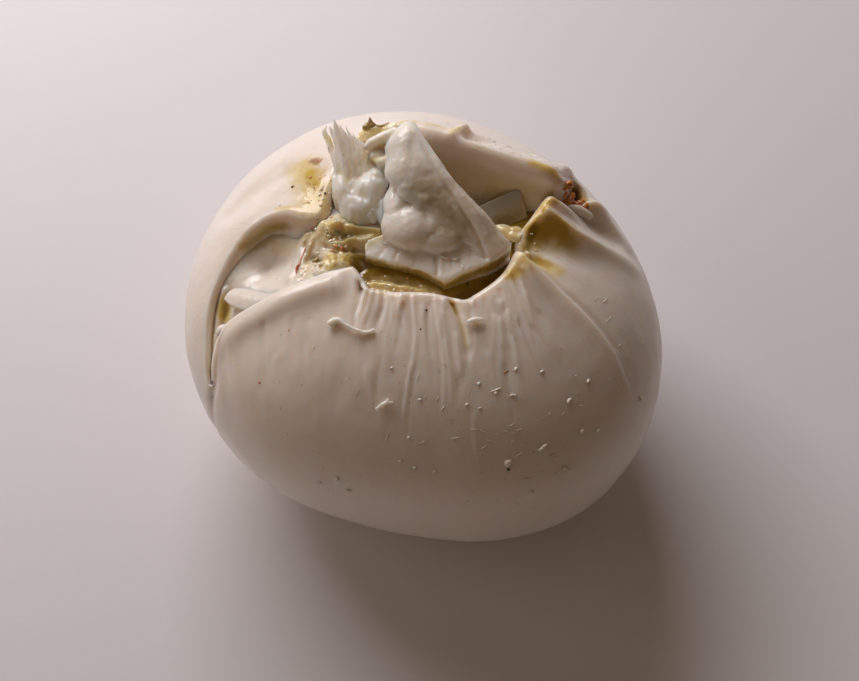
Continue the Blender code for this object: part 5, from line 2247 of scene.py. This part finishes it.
KNOT_STAINS = (
    butter(0.8, 1.4, (-9.4, 17.6, 57.4), (-6.8, 16.0, 58.0)),
    butter(0.85, 1.1, (-9.2, 16.7, 59.2), (-7.0, 16.1, 60.0)),
    butter(0.45, 1.2, (-10.6, 1.8, 54.2), (-9.0, 2.4, 54.6), (-7.8, 2.8, 54.8)),
    # the skirt's wall: oil, with painted shade under the skirt's edge
    butter(0.9, 1.9, (-10.8, -0.8, 52.0), (-6.0, -2.2, 52.0), (0.0, -4.0, 52.0), (3.8, -5.8, 51.8),
           (9.0, -3.4, 52.2), (15.0, -0.2, 52.8)),
    olive(0.75, 1.7, (-11.0, -0.6, 51.8), (-6.0, -2.2, 51.8), (0.0, -4.0, 51.7), (3.8, -6.0, 51.6),
          (9.0, -3.4, 51.9), (15.0, -0.2, 52.6)),
    olive(0.9, 1.1, (-11.0, 0.4, 53.4), (-10.9, -0.6, 51.0)),
    amber(0.7, 0.7, (-1.2, -3.4, 53.2), (0.2, -3.9, 52.8)),
    butter(0.6, 0.5, (11.0, 5.6, 58.0), (13.0, 4.0, 57.0), (14.6, 2.4, 56.0), (15.9, 1.0, 55.2)),
    # the shallow orange crease; the olive and butter on the bulb's right side and on the flap's middle,
    # lower part and band are painted shade
    blush(0.2, 0.8, (0.0, 5.6, 58.2), (0.6, 3.2, 57.6), (0.8, 1.4, 56.4)),
    butter(0.4, 2.0, (2.6, 3.0, 57.0), (6.0, 2.0, 56.4)),
    olive(0.34, 2.4, (2.0, 2.6, 57.0), (6.6, 2.0, 56.4)),
    olive(0.17, 4.6, (-2.0, 12.4, 62.0), (2.0, 9.0, 60.8)),
    olive(0.42, 3.2, (1.4, 7.4, 59.8), (6.4, 3.8, 58.0)),
    olive(0.22, 1.8, (5.2, 10.4, 61.2), (9.0, 6.4, 59.4), (12.6, 2.8, 57.2)),
    butter(0.25, 3.6, (0.0, 9.0, 60.6), (6.4, 3.8, 58.0)),
    wet(1.0, 1.3, (-7.0, 2.0, 54.8), (-3.0, 0.0, 54.8), (3.0, -0.8, 54.8), (8.0, 0.0, 55.0)),
    wet(0.6, 2.4, (-3.0, 18.0, 63.4), (-1.0, 12.0, 62.4)),
)
WISP_STAINS = (
    olive(0.3, 1.0, (-17.4, 21.2, 59.8), (-16.4, 20.0, 59.0)),
    butter(0.6, 1.5, (-17.4, 21.6, 59.8), (-15.6, 18.4, 58.0)),
    # the clump's foot: the olive is painted shade under its front; the butter is the yellow cream it
    # sits in
    olive(0.6, 1.1, (-15.0, 7.0, 53.0), (-9.0, 5.4, 53.0)),
    butter(0.7, 1.9, (-15.0, 7.0, 53.2), (-9.0, 5.4, 53.2)),
    butter(0.6, 1.8, (-10.4, 18.4, 58.8), (-8.0, 15.0, 58.6)),
    wet(0.6, 12.0, (-12.0, 12.0, 57.0)),
)


SLABS = Shreds(
    "slabs",
    CurdFinish("slab_curd", cream=(0.79, 0.70, 0.62), ivory=(0.82, 0.73, 0.65),
               roughness=0.4, coat=0.15),
    sheets=(
        Sheet(
            (
                ((-36.6, -4.7, 45.0), (-35.6, -3.4, 45.4), (-34.2, -2.0, 44.6)),
                ((-34.8, -6.6, 45.9), (-32.8, -4.8, 46.7), (-31.2, -2.8, 45.6)),
                ((-30.6, -8.6, 47.6), (-28.8, -6.6, 48.5), (-27.6, -4.0, 47.2)),
                ((-26.0, -8.2, 49.8), (-25.2, -6.6, 50.2), (-24.4, -4.5, 49.0)),
            ),
            ((1.0, 1.0, 0.6), (1.4, 1.4, 0.8), (1.5, 1.5, 0.8), (1.3, 1.2, 0.7)),
        ),
        Sheet(
            (
                ((26.4, 12.5, 49.8), (28.2, 13.0, 49.4), (29.8, 12.8, 48.8)),
                ((27.0, 11.9, 49.8), (29.0, 12.2, 49.4), (31.4, 11.7, 48.0)),
                ((28.2, 11.2, 49.0), (29.6, 11.2, 48.6), (30.8, 11.0, 47.6)),
            ),
            ((0.7, 0.8, 0.6), (1.1, 1.3, 0.9), (0.7, 0.8, 0.6)),
        ),
    ),
    lumps=(Lump((-37.0, -10.0, 43.0), (1.4, 1.0, 1.0), 60),),
    stains=(butter(0.6, 0.8, (-35.6, -7.0, 45.4), (-32.0, -8.8, 47.0)),),
)
# the slab in the hollow: its curd is made dark as painted shade; its olive and amber stains are the oil
# it lies in
SUNK_SLAB = Shreds(
    "sunk_slab",
    CurdFinish("sunk_curd_painted_shade", cream=(0.44, 0.405, 0.345), ivory=(0.50, 0.46, 0.39),
               roughness=0.2, coat=0.8),
    sheets=(
        Sheet(
            (
                ((9.4, 12.0, 50.0), (13.8, 14.0, 50.8), (17.7, 15.6, 51.5)),
                ((11.0, 10.2, 49.1), (15.0, 12.0, 49.8), (18.5, 13.3, 50.2)),
                ((12.6, 8.2, 47.9), (16.2, 9.6, 48.3), (19.3, 10.8, 48.6)),
            ),
            ((0.7, 0.7, 0.7), (0.9, 0.9, 0.9), (0.8, 0.8, 0.8)),
        ),
    ),
    cell=0.14,
    stains=(
        olive(0.75, 2.6, (13.0, 8.6, 48.0), (19.0, 10.4, 48.6)),
        amber(0.4, 3.0, (15.0, 9.6, 48.6), (19.0, 12.4, 49.6)),
    ),
)
BACK_PASTE = Mound(
    outline=(
        (-12.6, 22.6), (-12.2, 24.4), (-11.0, 25.4), (-9.0, 25.6), (-7.0, 25.2), (-4.6, 25.8),
        (-2.6, 25.6),
        (-3.4, 24.2), (-5.4, 23.4), (-8.0, 23.2), (-10.4, 22.2),
    ),
    places=(
        (-12.4, 23.2, 56.8), (-11.2, 25.0, 57.4), (-9.0, 25.4, 57.9), (-7.0, 25.0, 58.2),
        (-4.6, 25.6, 58.6),
        (-2.8, 25.4, 58.9), (-3.6, 24.4, 58.8), (-5.4, 23.6, 58.5), (-8.0, 23.4, 58.0),
        (-10.4, 22.6, 57.2),
        (-9.2, 24.4, 58.3), (-5.0, 24.8, 59.0), (-7.2, 24.4, 58.2),
    ),
    floor=54.0,
)
YELLOW_CREAM = Shreds(
    "yellow_cream",
    CurdFinish("yellow_cream", cream=(0.80, 0.68, 0.42), ivory=(0.84, 0.73, 0.50),
               roughness=0.2, coat=0.8),
    mounds=(BACK_PASTE,),
    lumps=(
        Lump((17.9, 4.8, 51.5), (0.9, 1.1, 1.0)),
        Lump((16.6, 6.0, 51.3), (1.5, 1.2, 0.9), 20),
        Lump((14.6, 6.7, 51.1), (1.6, 1.2, 0.9), -30),
    ),
    rolls=(
        Roll(((12.9, 7.4, 51.2), (14.4, 6.2, 51.7), (15.8, 5.1, 51.7), (17.6, 4.2, 51.6)),
             (0.5, 0.8, 0.9, 0.9)),
    ),
    unevenness=0.22,
    stains=(
        butter(0.6, 1.6, (-11.6, 23.6), (-8.0, 24.4)),
        amber(0.4, 1.0, (16.0, 6.4), (18.0, 6.2)),
        butter(0.5, 1.6, (14.0, 5.4), (17.8, 3.4)),
    ),
)
OLIVE_BITS = Shreds(
    "olive_bits",
    BitFinish("olive_paste", (0.46, 0.32, 0.09), (0.32, 0.20, 0.04), 0.25, 0.8),
    lumps=(
        Lump((-10.0, 25.1, 57.8), (1.2, 0.9, 0.8), 0),
        Lump((-10.9, 24.9, 57.8), (0.6, 0.6, 0.6)),
        Lump((-19.5, 0.4, 50.8), (1.0, 0.42, 0.4), 40),
        Lump((-23.7, 6.8, 49.4), (0.4, 0.25, 0.25)),
    ),
    rolls=(
        Roll(((-9.8, 25.2, 57.9), (-9.9, 25.4, 58.9), (-10.0, 25.6, 59.9)), (0.8, 0.42, 0.1)),
        Roll(((-9.4, 25.0, 57.8), (-7.8, 25.0, 58.1), (-6.4, 25.5, 58.5)), (0.5, 0.3, 0.15)),
    ),
    unevenness=0.12,
)
CURD_STRINGS = Shreds(
    "curd_strings",
    CurdFinish("pulled_curd"),
    rolls=(
        Roll(((-16.1, -13.7, 53.1), (-15.0, -13.6, 53.5), (-13.6, -14.6, 53.6), (-11.8, -15.6, 53.6),
              (-10.2, -16.1, 53.5), (-8.6, -15.6, 53.8)), (0.75, 0.5, 0.36, 0.36, 0.4, 0.3)),
        Roll(((-8.4, -28.6, 48.6), (-6.9, -27.8, 49.2), (-5.4, -27.6, 49.4)), (0.25, 0.45, 0.2)),
        Roll(((-7.0, -28.6, 48.7), (-6.8, -27.8, 49.2), (-6.2, -27.0, 49.6)), (0.15, 0.35, 0.2)),
        Roll(((7.5, -14.6, 54.7), (8.9, -14.2, 54.8), (10.4, -14.0, 54.7)), (0.3, 0.55, 0.3)),
    ),
    lumps=(Lump((-16.2, -13.9, 53.2), (0.9, 0.7, 0.6), 20),),
    cell=0.12,
    softening=2,
)
STRANDS = Shreds(
    "spice_strands",
    BitFinish("spice_strand", (0.55, 0.17, 0.04), (0.40, 0.10, 0.02)),
    rolls=(
        Roll(((-21.6, 3.6, 50.2), (-22.3, 1.2, 50.2), (-22.7, -0.6, 50.4), (-23.3, -2.2, 50.8)),
             (0.12, 0.2, 0.22, 0.1)),
        Roll(((-22.9, -0.4, 50.6), (-23.2, -1.4, 50.8), (-23.0, -2.6, 50.9)), (0.1, 0.2, 0.08)),
    ),
    cell=0.08,
    softening=1,
    unevenness=0.03,
)
BEADS = Shreds(
    "whey_beads",
    BitFinish("milky_whey", (0.84, 0.78, 0.70), (0.78, 0.70, 0.58), 0.04, 1.0, 1.0),
    rolls=(
        Roll(((-7.6, 2.4, 54.8), (-7.2, 1.7, 54.7), (-6.6, 1.2, 54.7)), (0.1, 0.2, 0.1)),
        Roll(((-4.4, 0.5, 54.7), (-3.6, 0.2, 54.7), (-2.6, -0.1, 54.7)), (0.1, 0.2, 0.1)),
        Roll(((3.0, -1.1, 54.7), (3.5, -1.4, 54.7), (3.9, -1.6, 54.7), (4.5, -1.7, 54.7)),
             (0.12, 0.26, 0.24, 0.12)),
        Roll(((4.9, -1.5, 54.7), (5.6, -1.8, 54.7), (6.2, -1.5, 54.7)), (0.12, 0.26, 0.12)),
    ),
    lumps=(Lump((0.6, -0.9, 54.6), (0.3, 0.2, 0.2)), Lump((6.9, -3.2, 54.4), (0.2, 0.5, 0.16), 20)),
    cell=0.07,
    softening=2,
    unevenness=0.05,
)
CRUMBS = Scatter(
    "crumbs",
    BitFinish("curd_crumb", (0.86, 0.79, 0.70), (0.80, 0.72, 0.62), 0.25),
    bits=(
        Bit(25.5, -26.0, (0.55, 0.45, 0.4)), Bit(20.9, -33.5, (0.8, 0.4, 0.35), 20),
        Bit(14.9, -36.1, (0.7, 0.5, 0.4)),
        Bit(25.0, -35.7, (0.5, 0.4, 0.3)), Bit(15.5, -26.3, (0.5, 0.35, 0.3)),
        Bit(20.7, -21.9, (0.35, 0.3, 0.25)),
        Bit(16.1, -22.1, (0.3, 0.3, 0.2)), Bit(12.5, -26.2, (0.3, 0.25, 0.2)),
        Bit(29.1, -22.1, (0.4, 0.35, 0.3)),
        Bit(31.0, -29.2, (0.35, 0.3, 0.25)), Bit(28.0, -30.1, (0.4, 0.3, 0.25)),
        Bit(39.5, -21.3, (0.4, 0.35, 0.3)),
        Bit(1.9, -37.4, (0.35, 0.3, 0.2)), Bit(-1.6, -36.7, (0.3, 0.25, 0.2)),
        Bit(-2.6, -32.7, (0.3, 0.25, 0.2)),
        Bit(-5.6, -22.1, (0.3, 0.25, 0.2)), Bit(-18.9, -36.3, (0.5, 0.3, 0.25), 40),
        Bit(-13.5, -37.9, (0.4, 0.3, 0.25)),
        Bit(-15.5, -36.5, (0.45, 0.3, 0.25)), Bit(19.2, -39.4, (0.4, 0.3, 0.25)),
        Bit(-4.2, -35.8, (0.3, 0.3, 0.2)),
        Bit(-0.7, -27.2, (0.3, 0.25, 0.2)), Bit(9.6, -24.7, (0.3, 0.25, 0.2)),
        Bit(7.5, -28.1, (0.3, 0.25, 0.2)),
        Bit(9.7, -28.6, (0.3, 0.25, 0.2)),
    ),
    sprinkles=(
        Sprinkle(70, ((-30.0, -22.0), (0.0, -30.0), (30.0, -24.0)), 16.0, 0.06, 0.16, 0.5),
        Sprinkle(40, ((-10.0, -36.0), (20.0, -34.0), (36.0, -16.0)), 8.0, 0.07, 0.2, 0.5),
        Sprinkle(20, ((-30.0, 22.0), (-6.0, 34.0), (24.0, 30.0)), 12.0, 0.06, 0.16, 0.5),
        Sprinkle(26, ((10.0, 24.0), (22.0, 22.0)), 3.0, 0.08, 0.22, 0.5),
    ),
    roughness=0.45,
    seed=3,
)
FILM_MARKS = Scatter(
    "film_marks",
    BitFinish("curd_film", (0.86, 0.79, 0.71), (0.80, 0.73, 0.64), 0.35, 0.25, 0.2),
    sprinkles=(
        Sprinkle(26, ((4.0, -32.0), (14.0, -31.0), (26.0, -34.0)), 6.0, 0.16, 0.42, 0.35, 2.6,
                 (-35.0, 35.0)),
        Sprinkle(16, ((-1.0, -39.0), (16.0, -41.0), (28.0, -38.0)), 5.0, 0.16, 0.4, 0.35, 2.4,
                 (-60.0, 60.0)),
        Sprinkle(18, ((-14.0, -26.0), (0.0, -24.0), (12.0, -24.0)), 6.0, 0.12, 0.3, 0.35, 2.8,
                 (60.0, 120.0)),
        Sprinkle(14, ((24.0, 4.0), (32.0, -6.0), (38.0, -16.0)), 4.0, 0.12, 0.28, 0.35, 2.8,
                 (-60.0, -20.0)),
        Sprinkle(22, ((8.0, 26.0), (18.0, 23.0), (26.0, 20.0)), 2.6, 0.14, 0.34, 0.4, 2.4,
                 (-40.0, 10.0)),
    ),
    roughness=0.3,
    sink=0.42,
    seed=17,
)
SPICE = Scatter(
    "spice",
    BitFinish("spice_granule", (0.78, 0.30, 0.03), (0.40, 0.09, 0.008), 0.12),
    bits=(
        Bit(26.8, 14.6, (1.4, 1.0, 1.1)), Bit(27.8, 13.6, (1.3, 1.0, 1.0), 40),
        Bit(29.0, 13.9, (1.2, 0.9, 1.0), 80),
        Bit(26.9, 13.2, (1.0, 0.8, 0.8)), Bit(28.2, 15.0, (1.1, 0.9, 0.9)),
        Bit(26.4, 15.6, (1.0, 0.8, 0.9), 10),
        Bit(29.6, 15.0, (0.9, 0.7, 0.7)), Bit(27.4, 16.0, (1.0, 0.8, 0.8)),
        Bit(30.0, 13.4, (0.8, 0.6, 0.6)),
    ),
    sprinkles=(
        Sprinkle(26, ((26.6, 14.2), (28.0, 14.4), (29.6, 13.8)), 1.8, 0.25, 0.6, 0.8),
    ),
    roughness=0.4,
    seed=5,
)
ORANGE_SPECKS = Scatter(
    "orange_specks",
    BitFinish("orange_spice", (0.78, 0.38, 0.14), (0.66, 0.26, 0.08)),
    bits=(
        Bit(-16.0, 1.9, (0.55, 0.3, 0.25), 20), Bit(-14.8, 1.5, (0.4, 0.3, 0.2)),
        Bit(-16.6, 1.2, (0.3, 0.2, 0.2)),
        Bit(-20.6, 6.6, (0.3, 0.2, 0.15)), Bit(-29.4, -21.4, (0.25, 0.22, 0.12)),
        Bit(-24.0, -14.0, (0.15, 0.12, 0.1)),
        Bit(14.2, -22.6, (0.22, 0.2, 0.12)), Bit(-3.0, -3.9, (0.3, 0.2, 0.2)),
        Bit(-1.0, -6.0, (0.25, 0.2, 0.2)),
        Bit(-3.2, 26.2, (0.35, 0.2, 0.2)), Bit(-4.6, 26.0, (0.25, 0.2, 0.15)),
    ),
    sprinkles=(
        Sprinkle(12, ((-20.4, 20.6), (-18.6, 17.0), (-19.0, 13.0)), 3.0, 0.1, 0.26, 0.7),
        Sprinkle(10, ((-20.0, 3.0), (-13.0, 0.6)), 3.0, 0.08, 0.18, 0.7),
    ),
    seed=8,
)
DARK_SPECKS = Scatter(
    "dark_specks",
    BitFinish("dark_spice", (0.06, 0.03, 0.012), (0.03, 0.015, 0.006)),
    bits=(
        Bit(7.9, -4.3, (0.32, 0.22, 0.2), 40), Bit(0.4, -12.2, (0.2, 0.2, 0.12)),
        Bit(-0.6, -15.6, (0.16, 0.14, 0.1)),
        Bit(14.6, -22.4, (0.16, 0.14, 0.1)), Bit(14.8, -37.0, (0.3, 0.24, 0.15)),
        Bit(-24.6, 16.6, (0.3, 0.2, 0.15)),
        Bit(-18.2, 12.8, (0.3, 0.2, 0.15)), Bit(-26.6, 11.6, (0.12, 0.12, 0.08)),
    ),
    sprinkles=(
        Sprinkle(26, ((-30.0, -16.0), (0.0, -26.0), (30.0, -20.0)), 18.0, 0.04, 0.1, 0.5),
        Sprinkle(7, ((-21.0, 20.0), (-18.0, 12.0), (-20.0, 4.0)), 4.0, 0.08, 0.16, 0.6),
    ),
    seed=9,
)
BUBBLES = Scatter(
    "whey_bubbles",
    BitFinish("foam_bubble", (0.93, 0.85, 0.66), (0.88, 0.77, 0.54), 0.06, 0.1, 0.7),
    sprinkles=(
        Sprinkle(34, ((-15.6, 5.6), (-14.8, 1.6), (-18.0, -1.6), (-21.6, -3.0)),
                 3.0, 0.12, 0.4, 0.6, 1.15),
        Sprinkle(22, ((-19.4, 6.6), (-19.0, 2.0), (-21.0, 8.6)), 3.0, 0.12, 0.4, 0.6, 1.15),
        Sprinkle(34, ((-9.0, -6.6), (-4.0, -7.4), (2.0, -8.6)), 2.0, 0.12, 0.34, 0.6, 1.1),
        Sprinkle(14, ((-18.6, 16.6), (-18.0, 13.0), (-18.6, 10.4)), 1.8, 0.14, 0.36, 0.6, 1.15),
        Sprinkle(18, ((14.6, 5.0), (18.6, 3.6), (21.0, 1.0)), 2.0, 0.08, 0.24, 0.7, 1.1),
        Sprinkle(24, ((9.0, 20.6), (14.0, 19.8), (20.0, 18.8)), 2.0, 0.06, 0.18, 0.6, 1.1),
    ),
    roughness=0.05,
    sink=0.3,
    seed=12,
)


def main() -> None:
    """Build the burrata, piece by piece, and its studio."""
    logging.basicConfig(level=logging.INFO, format="%(name)s %(message)s")
    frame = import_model()
    LOG.info("frame nodes: %s", sorted(frame["nodes"]))
    Studio().build()
    curd = CurdFinish("pulled_curd")
    shape = Pouch()
    pouch = shape.build(curd, POUCH_STAINS)
    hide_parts(NODE)
    cream = CurdFinish("filling_cream", fibre=0.06, roughness=0.36, wet_roughness=0.10, coat=0.45)
    filling = Filling().build(shape, cream, FILLING_STAINS)
    oil = Oil().build(OilFinish("oil"), OIL_STAINS)
    # the knot's curd is paler than the pouch's: painted light that brightens its skirt
    knot_curd_painted_light = CurdFinish("knot_curd_painted_light", cream=(0.88, 0.81, 0.73), ivory=(0.91, 0.84, 0.76), fibre=0.05)
    knot = Knot().build(knot_curd_painted_light, KNOT_STAINS)
    # the wisp's curd is paler than the pouch's: painted light on its shaded middle
    glassy = CurdFinish(
        "wisp_curd_painted_light", cream=(0.91, 0.85, 0.77), ivory=(0.94, 0.88, 0.80), depth=4.0, roughness=0.34,
        wet_roughness=0.2, coat=0.22, fibre=0.18,
    )
    wisp = Wisp().build(glassy, WISP_STAINS)
    ground = Ground([pouch, filling, oil, knot, wisp])
    for shreds in (SLABS, SUNK_SLAB, YELLOW_CREAM, OLIVE_BITS, CURD_STRINGS, STRANDS, BEADS):
        shreds.build()
    for scatter in (CRUMBS, FILM_MARKS, SPICE, ORANGE_SPECKS, DARK_SPECKS, BUBBLES):
        scatter.build(ground)


if __name__ == "__main__":
    main()
